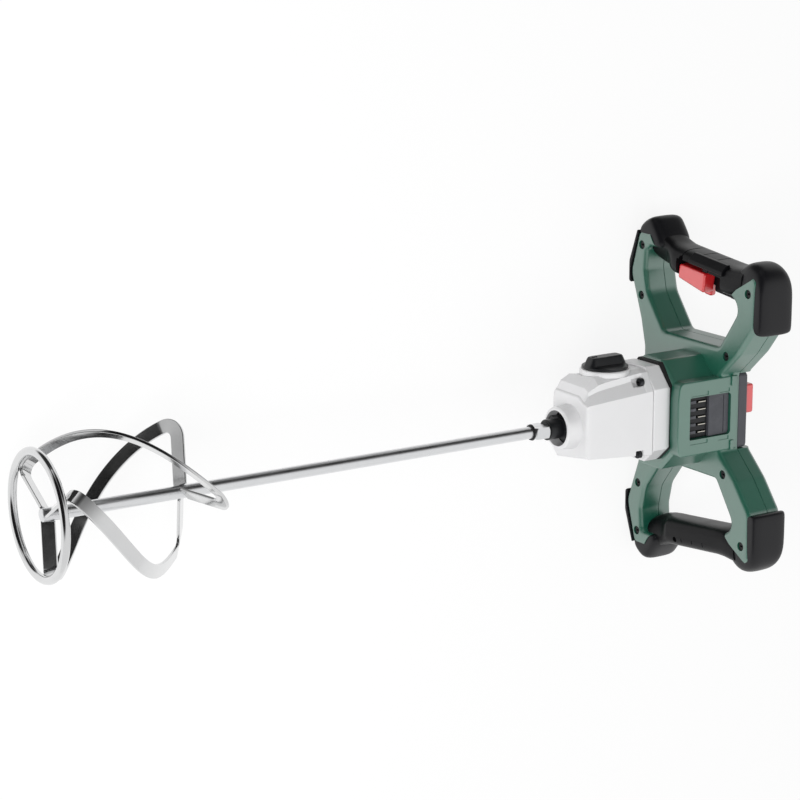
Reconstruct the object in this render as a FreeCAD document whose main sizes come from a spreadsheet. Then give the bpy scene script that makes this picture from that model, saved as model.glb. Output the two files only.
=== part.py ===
import FreeCAD, Part
import math
import os
import re
import Sketcher

# A cordless mixing drill with a ring stirrer, lying on its left side.
# X runs along the shaft from the stirrer to the motor, Y towards the upper handle, Z is up and is
# the battery side. A station is a distance along the shaft from the front of the stirrer's ring,
# a reach is a distance from the shaft axis towards a handle, a side is one towards the battery.
# The handles are mirror images of each other across the plane of reach zero.

# Driving sizes, in millimetres and degrees
SIZES = {
    # Stirrer
    "ring_dia": 120, "ring_bar": 8, "blade_width": 13, "blade_thick": 3, "blade_front_bend": 12,
    "blade_rear_bend": 15, "blade_rise": 128.5, "blade_swell": 5, "blade_rake": 13, "blade_drop": 2.05,
    "blade_turn": 152, "blade_start": -61.5, "blade_count": 3, "weld_gap": 0.05,
    "rod_dia": 12, "rod_front": 6, "rod_length": 529, "rod_chamfer": 1, "socket_depth": 15,
    "coupling_length": 21, "coupling_flats": 22, "coupling_face_dia": 20.4, "coupling_chamfer": 1.6,
    "stud_dia": 13.8, "stud_length": 20,
    # Fits
    "run_clear": 0.05, "seat_clear": 0.02, "slip_clear": 0.3, "thread_clear": 0.1, "pass_clear": 0.4,
    "cut_over": 1,
    # Spindle and its collar
    "spindle_nose_dia": 24, "spindle_flats": 20, "spindle_seat_dia": 17, "spindle_gear_dia": 16,
    "spindle_end_dia": 10, "nose_proud": 9, "collar_length": 16, "collar_dia": 40, "collar_root_dia": 45,
    "collar_bore": 35, "collar_flare": 3, "slot_width": 20, "slot_depth": 14, "seal_width": 4,
    # Bearings
    "front_bearing_width": 10, "bearing_web": 8, "rear_bearing_dia": 26, "rear_bearing_width": 6,
    "bearing_recess": 0.8, "race_share": 0.3, "lay_bearing_dia": 16, "lay_bearing_width": 5,
    "motor_bearing_dia": 19,
    "motor_bearing_width": 6, "end_bearing_dia": 22, "end_bearing_width": 6,
    # Gears
    "gear_module": 1.25, "gear_width": 10, "lay_gear_width": 9, "low_teeth": 30, "low_pinion_teeth": 10,
    "high_teeth": 27, "high_pinion_teeth": 13, "lay_teeth": 32, "motor_teeth": 8, "lay_reach": 25,
    "lay_dia": 8, "motor_shaft_tip": 5, "wall_setback": 8.07, "gear_gap": 4, "sleeve_gap": 1,
    "sleeve_width": 12, "sleeve_dia": 26, "sleeve_groove_dia": 20, "groove_width": 4.6, "plate_gap": 2,
    "plate_thick": 7, "lay_gap": 2.5, "wall_gap": 1.5, "wall_thick": 10,
    # Gear selector
    "pin_offset": 5, "pin_dia": 4, "fork_thick": 4, "fork_half": 14.5, "fork_top_gap": 2,
    "fork_bridge": 12, "fork_slot": 4, "fork_head": 11, "fork_head_half": 8, "fork_pad": 3,
    "shift_rod_reach": 37, "shift_rod_dia": 3, "shift_rod_bite": 4, "boss_dia": 52, "boss_rise": 3.5,
    "knob_dia": 46, "knob_disc": 3, "knob_rise": 12, "knob_shaft_dia": 12, "knob_bar_width": 14,
    "knob_bar_slope": 4, "knob_round": 2.5,
    # Gear housing
    "block_length": 77, "block_top_front": 34, "block_top_shoulder": 50, "block_top_rear": 52,
    "shoulder_length": 17, "block_low_front": 31, "block_low_rear": 41, "block_half_front": 29,
    "block_half_rear": 34, "block_flat_half": 17, "block_edge_front": 24, "block_edge_rear": 32,
    "block_bevel": 2.5, "block_low_flat": 20, "block_low_edge_front": 22, "block_low_edge_rear": 29,
    "cavity_top": 47,
    "cavity_low": 24, "cavity_half": 25, "cavity_flat": 12, "cavity_edge": 26, "trough_start": 12,
    "trough_reach": 39, "trough_side": 22.5, "trough_lip": 30,
    "upper_screw_reach": 39, "upper_screw_side": 23.5, "lower_screw_reach": 33, "lower_screw_side": 25,
    "gear_screw_dia": 4, "gear_head_dia": 7, "gear_head_rise": 4, "head_clear": 0.8, "screw_land": 15,
    "gear_screw_bite": 14, "notch_length": 9,
    # Gear cover
    "flange_length": 22, "flange_top": 53, "flange_low": 43, "flange_half": 35.5, "flange_flat": 18,
    "flange_edge": 33, "flange_low_edge": 29, "flange_low_flat": 20, "spigot_dia": 59.4, "spigot_length": 5,
    "spigot_wall": 3.7,
    # Motor
    "stator_dia": 60, "stator_yoke": 4, "stator_teeth": 6, "stator_tooth_width": 7, "rotor_gap": 0.6,
    "rotor_dia": 37, "rotor_length": 36, "stator_length": 40, "fan_dia": 54, "fan_width": 10, "fan_gap": 7,
    "fan_disc": 1.6, "fan_blades": 9, "fan_blade_thick": 1.5, "stator_gap": 6, "rotor_shaft_dia": 10,
    "motor_seat_dia": 7, "end_seat_dia": 8, "bell_gap": 5, "bell_thick": 8,
    # Front and rear shells
    "neck_length": 53, "neck_top": 56.5, "neck_half": 35.5, "neck_flat": 15, "neck_edge": 36,
    "neck_flare": 6.5, "neck_flare_length": 9, "front_depth": 25, "rear_depth": 17, "shell_bevel": 2.5,
    "root_round": 12, "bow_round": 30, "window_round": 8, "window_bow_round": 20,
    "left_root_reach": 48, "left_root_side": 79, "left_bow_reach": 76, "left_bow_side": 85,
    "left_knee_reach": 123, "left_knee_side": 102.5, "left_end_side": 88, "left_end_inner": 72,
    "right_root_reach": 39, "bay_side": 46, "right_bow_reach": 64, "right_bow_side": 70,
    "right_knee_reach": 93, "right_knee_side": 91, "right_end_side": 93,
    "window_reach": 68, "window_left_side": 46, "window_left_bow_reach": 104,
    "window_left_bow_side": 73.5, "window_left_top_reach": 128, "window_left_top_side": 79,
    "window_right_side": 40, "window_right_bow_reach": 112, "window_right_bow_side": 70,
    "control_reach": 42, "control_inner": 40, "control_outer": 72, "control_depth": 20, "control_gap": 0.5,
    # Shell screws, by reach and side
    "screw_left_high": 150.5, "screw_left_high_side": 84.4, "screw_left_low": 99.6,
    "screw_left_low_side": 83, "screw_right_high": 128, "screw_right_high_side": 82.8,
    "screw_right_low": 62.2, "screw_right_low_side": 56.3, "screw_grip_along": 24, "screw_grip_across": 4.5,
    "shell_screw_dia": 4, "shell_head_dia": 7.6, "shell_head_rise": 3, "shell_bore_dia": 9,
    "shell_bore_depth": 12, "shell_screw_bite": 12,
    # Grips, measured across the tilted grip and along it
    "grip_angle": 6.5, "grip_reach": 140.75, "grip_half": 16, "grip_round": 9, "grip_front_inset": 3,
    "grip_rear_inset": 1, "grip_left": 55, "grip_right": 50, "core_half": 9, "core_front_inset": 9,
    "core_rear_inset": 5, "core_lead": 6, "core_wall": 2.5,
    # Arm ends and cap tops, by how far their reach lies past the middle of the grip
    "left_end_reach": 22.25, "right_end_reach": -0.75, "left_cap_shoulder": 31.25, "left_cap_top": 40.75,
    "left_cap_inner": 37.25, "right_cap_shoulder": 7.25, "right_cap_top": 19.25,
    # Corner caps
    "cap_proud": 1, "cap_round": 7, "cap_edge": 4, "cap_gap": 0.4, "foot_wrap": 3, "strip_share": 0.72,
    "cap_foot_start": 114, "cap_foot_end": 132, "left_cap_shoulder_side": 90.5, "left_cap_top_side": 76,
    "left_cap_inner_side": 62, "right_cap_low": 88, "right_cap_low_side": 97, "right_cap_side": 102,
    "right_cap_heel": 91, "right_cap_top_side": 90, "right_cap_inner_side": 72,
    # Trigger, lock button and switch
    "trigger_left": 29, "trigger_right": 12, "trigger_low": 20, "trigger_high": 6.2,
    "trigger_front_inset": 4.5, "trigger_depth": 15, "trigger_travel": 6, "trigger_round": 2,
    "switch_box_end": 43, "switch_box_low": 21, "lock_left": 6, "lock_right": 4, "lock_low": 24,
    "lock_high": 13, "lock_depth": 8, "switch_half": 6, "switch_left": 18, "switch_right": 40,
    "switch_front": 4.5, "switch_rear": 9, "ledge_proud": 2, "ledge_depth": 7, "ledge_low": 4.8,
    "ledge_high": 8.6, "ledge_top": 13, "ledge_left": 7, "ledge_right": 40,
    # Battery bay
    "bay_reach": 38, "bay_floor": 36, "bay_base": 30, "bay_flat": 20, "bay_bow": 2, "bay_corner": 6,
    "recess_reach": 21.5,
    "recess_front": 15, "recess_length": 52, "block_share": 0.5, "block_rise": 4, "plate_rise": 7,
    "bay_gap": 0.3, "blade_metal": 0.8, "contact_length": 12, "contact_rise": 5, "contact_step": 7.7,
    "contact_count": 5, "contact_slot": 3, "contact_floor": 1, "stop_reach": 33, "stop_width": 9,
    "stop_front": 58, "stop_length": 9, "stop_rise": 3,
    # Rear cover and its button
    "cover_reach": 39, "cover_side": 45, "cover_proud": 11.5, "cover_wall": 3, "cover_round": 5,
    "button_reach": 10, "button_side": 33, "button_long": 30, "button_wide": 14, "button_rise": 8.5,
    "button_flange": 1.5, "button_round": 2,
}

doc = FreeCAD.newDocument("mixing_drill")
dims = doc.addObject("Spreadsheet::Sheet", "Dims")
for row, (name, value) in enumerate(SIZES.items(), 1):
    dims.set(f"A{row}", name)
    dims.set(f"B{row}", str(value))
    dims.setAlias(f"B{row}", name)
doc.recompute()

pieces = []
PARALLEL_SHARE = 0.999
NEAR = 0.01


def formula(text):
    """Write the sheet's names in a formula as references to the sheet."""
    return re.sub(r"\b[a-z]+(?:_[a-z0-9]+)+\b", r"Dims.\g<0>", text)


def size(text):
    return float(dims.evalExpression(formula(text)))


def negative(text):
    return f"-({text})"


def mirrored(corners):
    """The same corners on the lower handle, in reverse order so that an outline can go on."""
    return [(negative(reach), side) for reach, side in reversed(corners)]


# Stations along the shaft
COUPLING_FRONT = "rod_front + rod_length - socket_depth"
SPINDLE_FRONT = f"{COUPLING_FRONT} + coupling_length"
COLLAR_FRONT = f"{SPINDLE_FRONT} + nose_proud"
BLOCK_FRONT = f"{COLLAR_FRONT} + collar_length"
SEAM = f"{BLOCK_FRONT} + block_length"
FLANGE_REAR = f"{SEAM} + flange_length"
LOOP_FRONT = f"{FLANGE_REAR} + neck_length"
SPLIT = f"{LOOP_FRONT} + front_depth"
COVER_REAR = f"{SPLIT} + cover_proud"
MIDDLE = f"({COVER_REAR} + button_rise) / 2"
REST_HEIGHT = "left_knee_side + foot_wrap"

# Places in the gearbox, from the front of the housing's block
SHIFT_TRAVEL = "pin_offset * sqrt(2)"
WALL = "block_length + wall_setback"
WALL_REAR = f"{WALL} + wall_thick"
LAY_GEAR = f"{WALL} - wall_gap - lay_gear_width"
PLATE = f"{LAY_GEAR} - lay_gap - plate_thick"
HIGH_GEAR = f"{PLATE} - plate_gap - gear_width"
SLEEVE = f"{HIGH_GEAR} - sleeve_gap - {SHIFT_TRAVEL} - sleeve_width"
LOW_GEAR = f"{SLEEVE} - sleeve_gap - gear_width"
FRONT_WALL = f"{LOW_GEAR} - gear_gap"
FRONT_BEARING = f"{FRONT_WALL} - bearing_web - front_bearing_width"
KNOB = f"{SLEEVE} + sleeve_width / 2 + {SHIFT_TRAVEL} / 2"
BOSS_TOP = "block_top_shoulder + boss_rise"


def seat(piece, station, reach="0", side="0", turn=None, tilt=None):
    """Place a piece by the sheet, tilted about the shaft's direction where a tilt is given."""
    if turn:
        piece.Placement = FreeCAD.Placement(FreeCAD.Vector(), turn)
    if tilt:
        along = FreeCAD.Vector(1, 0, 0)
        piece.Placement = FreeCAD.Placement(FreeCAD.Vector(), FreeCAD.Rotation(along, size(tilt)))
        piece.setExpression("Placement.Rotation.Angle", formula(tilt))
    piece.setExpression("Placement.Base.x", formula(f"{station} - {MIDDLE}"))
    piece.setExpression("Placement.Base.y", formula(reach))
    piece.setExpression("Placement.Base.z", formula(f"{REST_HEIGHT} + {side}"))
    pieces.append(piece)


def new_body(label, station, reach="0", side="0", tilt=None):
    body = doc.addObject("PartDesign::Body", label)
    body.Label = label
    seat(body, station, reach, side, tilt=tilt)
    return body


def new_solid(label, shape, station, reach="0", side="0"):
    """A piece whose shape is worked out here, placed after its shape is set."""
    piece = doc.addObject("Part::Feature", label)
    piece.Label = label
    piece.Shape = shape
    seat(piece, station, reach, side)
    return piece


def sketch_on(body, plane, offset):
    sketch = body.newObject("Sketcher::SketchObject", f"{body.Label}_sketch")
    support = next(item for item in body.Origin.OriginFeatures if item.Role == plane)
    sketch.AttachmentSupport = [(support, "")]
    sketch.MapMode = "FlatFace"
    sketch.setExpression("AttachmentOffset.Base.z", formula(offset))
    return sketch


def pin_point(sketch, line, point, across, up):
    """Tie a point of the sketch to the sheet, or to the sketch's axis where it lies on one."""
    for kind, axis, text in (("DistanceX", -2, across), ("DistanceY", -1, up)):
        if text == "0":
            sketch.addConstraint(Sketcher.Constraint("PointOnObject", line, point, axis))
        else:
            place = Sketcher.Constraint(kind, -1, 1, line, point, size(text))
            sketch.setExpression(f"Constraints[{sketch.addConstraint(place)}]", formula(text))


def add_outline(sketch, corners):
    spots = [FreeCAD.Vector(size(across), size(up), 0) for across, up in corners]
    first = sketch.GeometryCount
    for start, end in zip(spots, spots[1:] + spots[:1]):
        sketch.addGeometry(Part.LineSegment(start, end), False)
    for line in range(len(spots)):
        following = (line + 1) % len(spots)
        sketch.addConstraint(Sketcher.Constraint("Coincident", first + line, 2, first + following, 1))
    for line, (across, up) in enumerate(corners):
        pin_point(sketch, first + line, 1, across, up)


def add_circle(sketch, across, up, radius):
    middle = FreeCAD.Vector(size(across), size(up), 0)
    circle = sketch.addGeometry(Part.Circle(middle, FreeCAD.Vector(0, 0, 1), size(radius)), False)
    pin_point(sketch, circle, 3, across, up)
    rule = sketch.addConstraint(Sketcher.Constraint("Radius", circle, size(radius)))
    sketch.setExpression(f"Constraints[{rule}]", formula(radius))


def draw(body, loops, plane, offset):
    """A sketch of loops: a list of corners is an outline, a tuple of three formulas a circle."""
    sketch = sketch_on(body, plane, offset)
    for loop in loops:
        if isinstance(loop, tuple):
            add_circle(sketch, *loop)
        else:
            add_outline(sketch, loop)
    return sketch


def settle(feature):
    """Work the model out again and stop where the new feature failed."""
    doc.recompute()
    if "Invalid" in feature.State or "Error" in feature.State:
        raise RuntimeError(f"{feature.Label} failed: {feature.getStatusString()}")
    return feature


def pad(body, loops, length, offset="0", plane="YZ_Plane"):
    feature = body.newObject("PartDesign::Pad", f"{body.Label}_pad")
    feature.Profile = draw(body, loops, plane, offset)
    feature.setExpression("Length", formula(length))
    return settle(feature)


def cut(body, loops, length, offset="0", plane="YZ_Plane"):
    """Cut from the sketch forward along its plane's normal, and see that something went."""
    before = body.Shape.Volume
    feature = body.newObject("PartDesign::Pocket", f"{body.Label}_cut")
    feature.Profile = draw(body, loops, plane, offset)
    feature.Reversed = True
    feature.setExpression("Length", formula(length))
    settle(feature)
    if not body.Shape.Volume < before:
        raise RuntimeError(f"a cut in {body.Label} took nothing away")
    return feature


def turned(body, corners):
    """A revolution about the shaft's direction of corners given as station and radius."""
    feature = body.newObject("PartDesign::Revolution", f"{body.Label}_turn")
    sketch = draw(body, [corners], "XY_Plane", "0")
    feature.Profile = sketch
    feature.ReferenceAxis = (sketch, ["H_Axis"])
    feature.Angle = 360
    return settle(feature)


def groove(body, corners):
    """Turn corners of station and radius away from a body, about the shaft's direction."""
    before = body.Shape.Volume
    feature = body.newObject("PartDesign::Groove", f"{body.Label}_groove")
    sketch = draw(body, [corners], "XY_Plane", "0")
    feature.Profile = sketch
    feature.ReferenceAxis = (sketch, ["H_Axis"])
    feature.Angle = 360
    settle(feature)
    if not body.Shape.Volume < before:
        raise RuntimeError(f"a groove in {body.Label} took nothing away")
    return feature


def loft(body, outlines):
    """A straight sided loft through outlines, each given with its station."""
    sections = [draw(body, [outline], "YZ_Plane", place) for outline, place in outlines]
    feature = body.newObject("PartDesign::AdditiveLoft", f"{body.Label}_loft")
    feature.Profile = sections[0]
    feature.Sections = sections[1:]
    feature.Ruled = True
    return settle(feature)


def polar(body, feature, count):
    pattern = body.newObject("PartDesign::PolarPattern", f"{body.Label}_pattern")
    pattern.Originals = [feature]
    pattern.Axis = (feature.Profile[0], ["N_Axis"])
    pattern.Angle = 360
    pattern.setExpression("Occurrences", formula(count))
    body.Tip = pattern
    return settle(pattern)


def edges_along(body, axis, corners):
    """Names of the edges that run along X (axis 0) or Z (axis 2) through the given corners."""
    spots = [(size(across), size(up)) for across, up in corners]
    first, second = [number for number in range(3) if number != axis]
    names = []
    for number, edge in enumerate(body.Tip.Shape.Edges, 1):
        ends = [vertex.Point for vertex in edge.Vertexes]
        if len(ends) < 2 or abs(ends[0][axis] - ends[1][axis]) < edge.Length * PARALLEL_SHARE:
            continue
        if any(math.hypot(ends[0][first] - y, ends[0][second] - z) < NEAR for y, z in spots):
            names.append(f"Edge{number}")
    return names


def edges_of_outline(body, station, corners):
    """Names of the edges at one station that lie on the lines from corner to corner of an outline."""
    place = size(station)
    spots = [FreeCAD.Vector(place, size(across), size(up)) for across, up in corners]
    lines = [Part.LineSegment(start, end).toShape() for start, end in zip(spots, spots[1:])]
    names = []
    for number, edge in enumerate(body.Tip.Shape.Edges, 1):
        for line in lines:
            if all(line.distToShape(vertex)[0] < NEAR for vertex in edge.Vertexes):
                names.append(f"Edge{number}")
    return names


def soften(body, kind, names, amount):
    """Round or bevel the named edges of the body as it stands."""
    base = body.Tip
    feature = body.newObject(f"PartDesign::{kind}", f"{body.Label}_{kind.lower()}")
    feature.Base = (base, names)
    feature.setExpression("Radius" if kind == "Fillet" else "Size", formula(amount))
    return settle(feature)


def octagon(top, low, half, flat, edge, low_flat, low_edge):
    """Eight corners of a housing section, the flats of its top and foot centred on the axis."""
    right = [(negative(low), low_flat), (negative(low_edge), half), (edge, half), (top, flat)]
    return right + [(reach, negative(side)) for reach, side in reversed(right)]


def rectangle(low, high, left, right):
    return [(low, left), (high, left), (high, right), (low, right)]


def on_grip(across, along):
    """A point of the upper grip, given across and along it, as reach and side."""
    reach = f"grip_reach + ({across}) * cos(grip_angle) - ({along}) * sin(grip_angle)"
    side = f"({across}) * sin(grip_angle) + ({along}) * cos(grip_angle)"
    return reach, side


# Stirrer
ring = doc.addObject("Part::Torus", "stirrer_ring")
ring.Label = "stirrer_ring"
ring.setExpression("Radius1", formula("(ring_dia - ring_bar) / 2"))
ring.setExpression("Radius2", formula("ring_bar / 2"))
seat(ring, "ring_bar / 2", turn=FreeCAD.Rotation(FreeCAD.Vector(0, 1, 0), 90))

rod = new_body("stirrer_rod", "rod_front")
turned(rod, [("0", "0"), ("rod_length", "0"), ("rod_length", "rod_dia / 2"),
             ("rod_chamfer", "rod_dia / 2"), ("0", "rod_dia / 2 - rod_chamfer")])

half_flats = "coupling_flats / 2"
hex_right = [(half_flats, f"{half_flats} * tan(30)"), ("0", f"{half_flats} / cos(30)"),
             (negative(half_flats), f"{half_flats} * tan(30)")]
hexagon = hex_right + [(reach, negative(side)) for reach, side in reversed(hex_right)]
coupling = new_body("stirrer_coupling", COUPLING_FRONT)
pad(coupling, [hexagon], "coupling_length")
face_radius = "coupling_face_dia / 2"
hex_radius = f"{half_flats} / cos(30) + cut_over"
groove(coupling, [("0", face_radius), ("0", hex_radius), ("coupling_chamfer", hex_radius)])
groove(coupling, [("coupling_length", face_radius), ("coupling_length", hex_radius),
                  ("coupling_length - coupling_chamfer", hex_radius)])
pad(coupling, [("0", "0", "stud_dia / 2")], "stud_length", "coupling_length")
cut(coupling, [("0", "0", "rod_dia / 2 + seat_clear")], "socket_depth")

# Steps along a blade: its arm, the bend at the ring, the helix and the same again to the rod
ARM_SHARES = [0, 0.5, 1]
BEND_STEPS = 4
HELIX_STEPS = 12
SWELL_END_SHARE = 0.65


def blade_marks(length):
    """Radius, run along the helix, rake, swing from radial to the helix, and twist, step by step."""
    root = size("rod_dia / 2 + weld_gap")
    front_bend = size("blade_front_bend")
    rear_bend = size("blade_rear_bend")
    narrow = size("ring_dia / 2")
    wide = size("ring_dia / 2 + blade_swell")
    rake = size("blade_rake")
    quarter = math.pi / 2
    swings = [quarter * step / BEND_STEPS for step in range(1, BEND_STEPS + 1)]
    front = [(root + (narrow - front_bend - root) * share, 0, 0, 0, 0) for share in ARM_SHARES]
    rear = [(root + (wide - rear_bend - root) * share, length, 0, 0, quarter) for share in ARM_SHARES]
    for swing in swings:
        gone = 1 - math.cos(swing)
        inward = 1 - math.sin(swing)
        front.append((narrow - front_bend * inward, front_bend * gone, 0, swing, 0))
        rear.append((wide - rear_bend * inward, length - rear_bend * gone, 0, swing, quarter))
    rear = [(radius, run, rake * (radius - root) / (wide - root), swing, twist)
            for radius, run, _, swing, twist in rear]
    helix = []
    for step in range(1, HELIX_STEPS):
        share = step / HELIX_STEPS
        run = front_bend + (length - front_bend - rear_bend) * share
        swollen = math.sin(quarter * min(1, share / SWELL_END_SHARE))
        helix.append((narrow + (wide - narrow) * swollen, run, rake * (run / length) ** 3,
                      quarter, quarter * share))
    return front + helix + rear[::-1]


def blade_frames():
    """Middle, width and thickness directions along a flat bar that winds from rod to rod.

    The bar bends out of its front arm over its flat side and lies flat on the cage there. Along the
    helix it twists on edge, and it bends into its raked rear arm within its own plane."""
    turn = math.radians(size("blade_turn"))
    rise = size("blade_rise")
    lower = size("ring_bar + weld_gap + blade_width / 2 - blade_drop")
    around_length = turn * size("ring_dia / 2")
    slope = math.atan2(rise, around_length)
    length = math.hypot(rise, around_length)
    shaft = FreeCAD.Vector(1, 0, 0)
    spots = []
    widths = []
    for radius, run, raked, swing, twist in blade_marks(length):
        angle = turn * run / length
        out = FreeCAD.Vector(0, math.cos(angle), math.sin(angle))
        around = FreeCAD.Vector(0, -math.sin(angle), math.cos(angle))
        onward = around * math.cos(slope) + shaft * math.sin(slope)
        flat = shaft * math.cos(slope) - around * math.sin(slope)
        on_edge = out * math.sin(swing) + onward * math.cos(swing)
        spots.append(out * radius + shaft * (lower + rise * run / length + raked))
        widths.append(flat * math.cos(twist) - on_edge * math.sin(twist))
    # The ends are cut square to the rod's radius
    headings = [spots[1] - spots[0]]
    headings += [after - before for before, after in zip(spots, spots[2:])]
    headings.append(out * -1)
    frames = []
    for spot, heading, across in zip(spots, headings, widths):
        heading.normalize()
        width = across - heading * across.dot(heading)
        width.normalize()
        frames.append((spot, width, heading.cross(width)))
    return frames


def blade_shape():
    half_width = size("blade_width / 2")
    half_thick = size("blade_thick / 2")
    sections = []
    for spot, width, thick in blade_frames():
        corners = [spot + width * (half_width * a) + thick * (half_thick * b)
                   for a, b in ((1, 1), (1, -1), (-1, -1), (-1, 1))]
        sections.append(Part.makePolygon(corners + corners[:1]))
    return Part.makeLoft(sections, True, True)


for number in range(SIZES["blade_count"]):
    blade = blade_shape()
    start = size(f"blade_start + 360 / blade_count * {number}")
    blade.rotate(FreeCAD.Vector(), FreeCAD.Vector(1, 0, 0), start)
    new_solid(f"stirrer_blade_{number + 1}", blade, "0")

# Spindle, its seal and bearings
block_offset = "nose_proud + collar_length"
nose_length = f"{block_offset} + {FRONT_BEARING}"
seat_radius = "spindle_seat_dia / 2 - run_clear"
gear_radius = "spindle_gear_dia / 2"
end_radius = "spindle_end_dia / 2 - run_clear"
spindle = new_body("spindle", SPINDLE_FRONT)
spindle_end = f"{block_offset} + {PLATE} + plate_thick"
turned(spindle, [
    ("0", "0"), (spindle_end, "0"), (spindle_end, end_radius),
    (f"{block_offset} + {PLATE} - plate_gap", end_radius),
    (f"{block_offset} + {PLATE} - plate_gap", gear_radius),
    (f"{nose_length} + front_bearing_width", gear_radius),
    (f"{nose_length} + front_bearing_width", seat_radius),
    (nose_length, seat_radius), (nose_length, "spindle_nose_dia / 2"), ("0", "spindle_nose_dia / 2")])
cut(spindle, [("0", "0", "stud_dia / 2 + thread_clear")], "stud_length + cut_over")
for way in ("", "-"):
    low = f"{way}spindle_flats / 2"
    high = f"{way}spindle_nose_dia"
    cut(spindle, [rectangle("-spindle_nose_dia", "spindle_nose_dia", low, high)], "slot_depth")


def bearing_profile(bore, outer, width):
    """Half section of a shielded ball bearing, its shields set back from the races."""
    inside = f"{bore} / 2"
    outside = f"{outer} / 2"
    race = f"({outside} - {inside}) * race_share"
    return [("0", inside), (width, inside), (width, f"{inside} + {race}"),
            (f"{width} - bearing_recess", f"{inside} + {race}"),
            (f"{width} - bearing_recess", f"{outside} - {race}"), (width, f"{outside} - {race}"),
            (width, outside), ("0", outside), ("0", f"{outside} - {race}"),
            ("bearing_recess", f"{outside} - {race}"), ("bearing_recess", f"{inside} + {race}"),
            ("0", f"{inside} + {race}")]


def bearing(label, station, bore, outer, width, reach="0"):
    turned(new_body(label, station, reach), bearing_profile(bore, outer, width))


bearing("spindle_front_bearing", f"{BLOCK_FRONT} + {FRONT_BEARING}", "spindle_seat_dia", "collar_bore",
        "front_bearing_width")
bearing("spindle_rear_bearing", f"{BLOCK_FRONT} + {PLATE}", "spindle_end_dia", "rear_bearing_dia",
        "rear_bearing_width")
seal = new_body("spindle_seal", f"{BLOCK_FRONT} + {FRONT_BEARING} - seal_width - bearing_recess")
seal_lip = "spindle_nose_dia / 2 + slip_clear"
seal_rim = "collar_bore / 2 - seat_clear"
turned(seal, [("0", seal_lip), ("seal_width", seal_lip), ("seal_width", seal_rim), ("0", seal_rim)])

# Teeth of the gears: half widths as shares of the pitch, heights as shares of the module
TOOTH_ROOT_SHARE = 0.30
TOOTH_TIP_SHARE = 0.11
ADDENDUM_SHARE = 0.9
DEDENDUM_SHARE = 1.2


def gear(label, station, teeth, width, bore, reach="0", facing=0, gap=False):
    """A spur gear with a tooth, or a gap, that faces the given angle from the handle direction."""
    count = int(size(teeth))
    module = size("gear_module")
    pitch = 2 * math.pi / count
    tip = module * (count / 2 + ADDENDUM_SHARE)
    root = module * (count / 2 - DEDENDUM_SHARE)
    first = math.radians(facing) + (pitch / 2 if gap else 0)
    corners = []
    for tooth in range(count):
        middle = first + pitch * tooth
        for radius, share in ((root, -TOOTH_ROOT_SHARE), (tip, -TOOTH_TIP_SHARE),
                              (tip, TOOTH_TIP_SHARE), (root, TOOTH_ROOT_SHARE)):
            angle = middle + pitch * share
            corners.append(FreeCAD.Vector(0, radius * math.cos(angle), radius * math.sin(angle)))
    face = Part.Face(Part.makePolygon(corners + corners[:1]))
    along = FreeCAD.Vector(size(width), 0, 0)
    hole = Part.makeCylinder(size(bore), along.x, FreeCAD.Vector(), FreeCAD.Vector(1, 0, 0))
    return new_solid(label, face.extrude(along).cut(hole), station, reach)


AWAY = 0
BACK = 180
gear("low_gear", f"{BLOCK_FRONT} + {LOW_GEAR}", "low_teeth", "gear_width",
     f"{gear_radius} + seat_clear", facing=AWAY)
gear("high_gear", f"{BLOCK_FRONT} + {HIGH_GEAR}", "high_teeth", "gear_width",
     f"{gear_radius} + run_clear", facing=AWAY)

sleeve = new_body("shift_sleeve", f"{BLOCK_FRONT} + {SLEEVE}")
groove_low = "sleeve_width / 2 - groove_width / 2"
groove_high = "sleeve_width / 2 + groove_width / 2"
sleeve_bore = f"{gear_radius} + run_clear"
turned(sleeve, [
    ("0", sleeve_bore), ("sleeve_width", sleeve_bore), ("sleeve_width", "sleeve_dia / 2"),
    (groove_high, "sleeve_dia / 2"), (groove_high, "sleeve_groove_dia / 2"),
    (groove_low, "sleeve_groove_dia / 2"), (groove_low, "sleeve_dia / 2"), ("0", "sleeve_dia / 2")])

# Shift fork: it straddles the layshaft and holds the sleeve's groove from both sides
fork_top = "cavity_top - fork_top_gap"
fork_inner = "sleeve_groove_dia / 2 + slip_clear"
bridge_low = f"{fork_top} - fork_bridge"
fork = new_body("shift_fork", f"{BLOCK_FRONT} + {SLEEVE} + sleeve_width / 2")
fork_right = [("-fork_pad", fork_inner), ("-fork_pad", "fork_half"), ("cavity_edge", "fork_half"),
              (fork_top, "fork_head_half")]
fork_left = [(reach, negative(side)) for reach, side in reversed(fork_right)]
pad(fork, [[(bridge_low, fork_inner)] + fork_right + fork_left + [(bridge_low, negative(fork_inner))]],
    "fork_thick", "-fork_thick / 2")
head_outline = rectangle(bridge_low, fork_top, "-fork_head_half", "fork_head_half")
pad(fork, [head_outline], "fork_head", "-fork_head / 2")
pin_slot = rectangle(f"{fork_top} - fork_slot", f"{fork_top} + cut_over", "-fork_half", "fork_half")
cut(fork, [pin_slot], "pin_dia + 2 * slip_clear", "-pin_dia / 2 - slip_clear")
cut(fork, [("shift_rod_reach", "0", "shift_rod_dia / 2 + run_clear")], "fork_head", "-fork_head / 2")

shift_rod = new_body("shift_rod", f"{BLOCK_FRONT} + {FRONT_WALL} - shift_rod_bite", "shift_rod_reach")
rod_run = f"{PLATE} - ({FRONT_WALL}) + 2 * shift_rod_bite"
pad(shift_rod, [("0", "0", "shift_rod_dia / 2")], rod_run)

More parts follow.
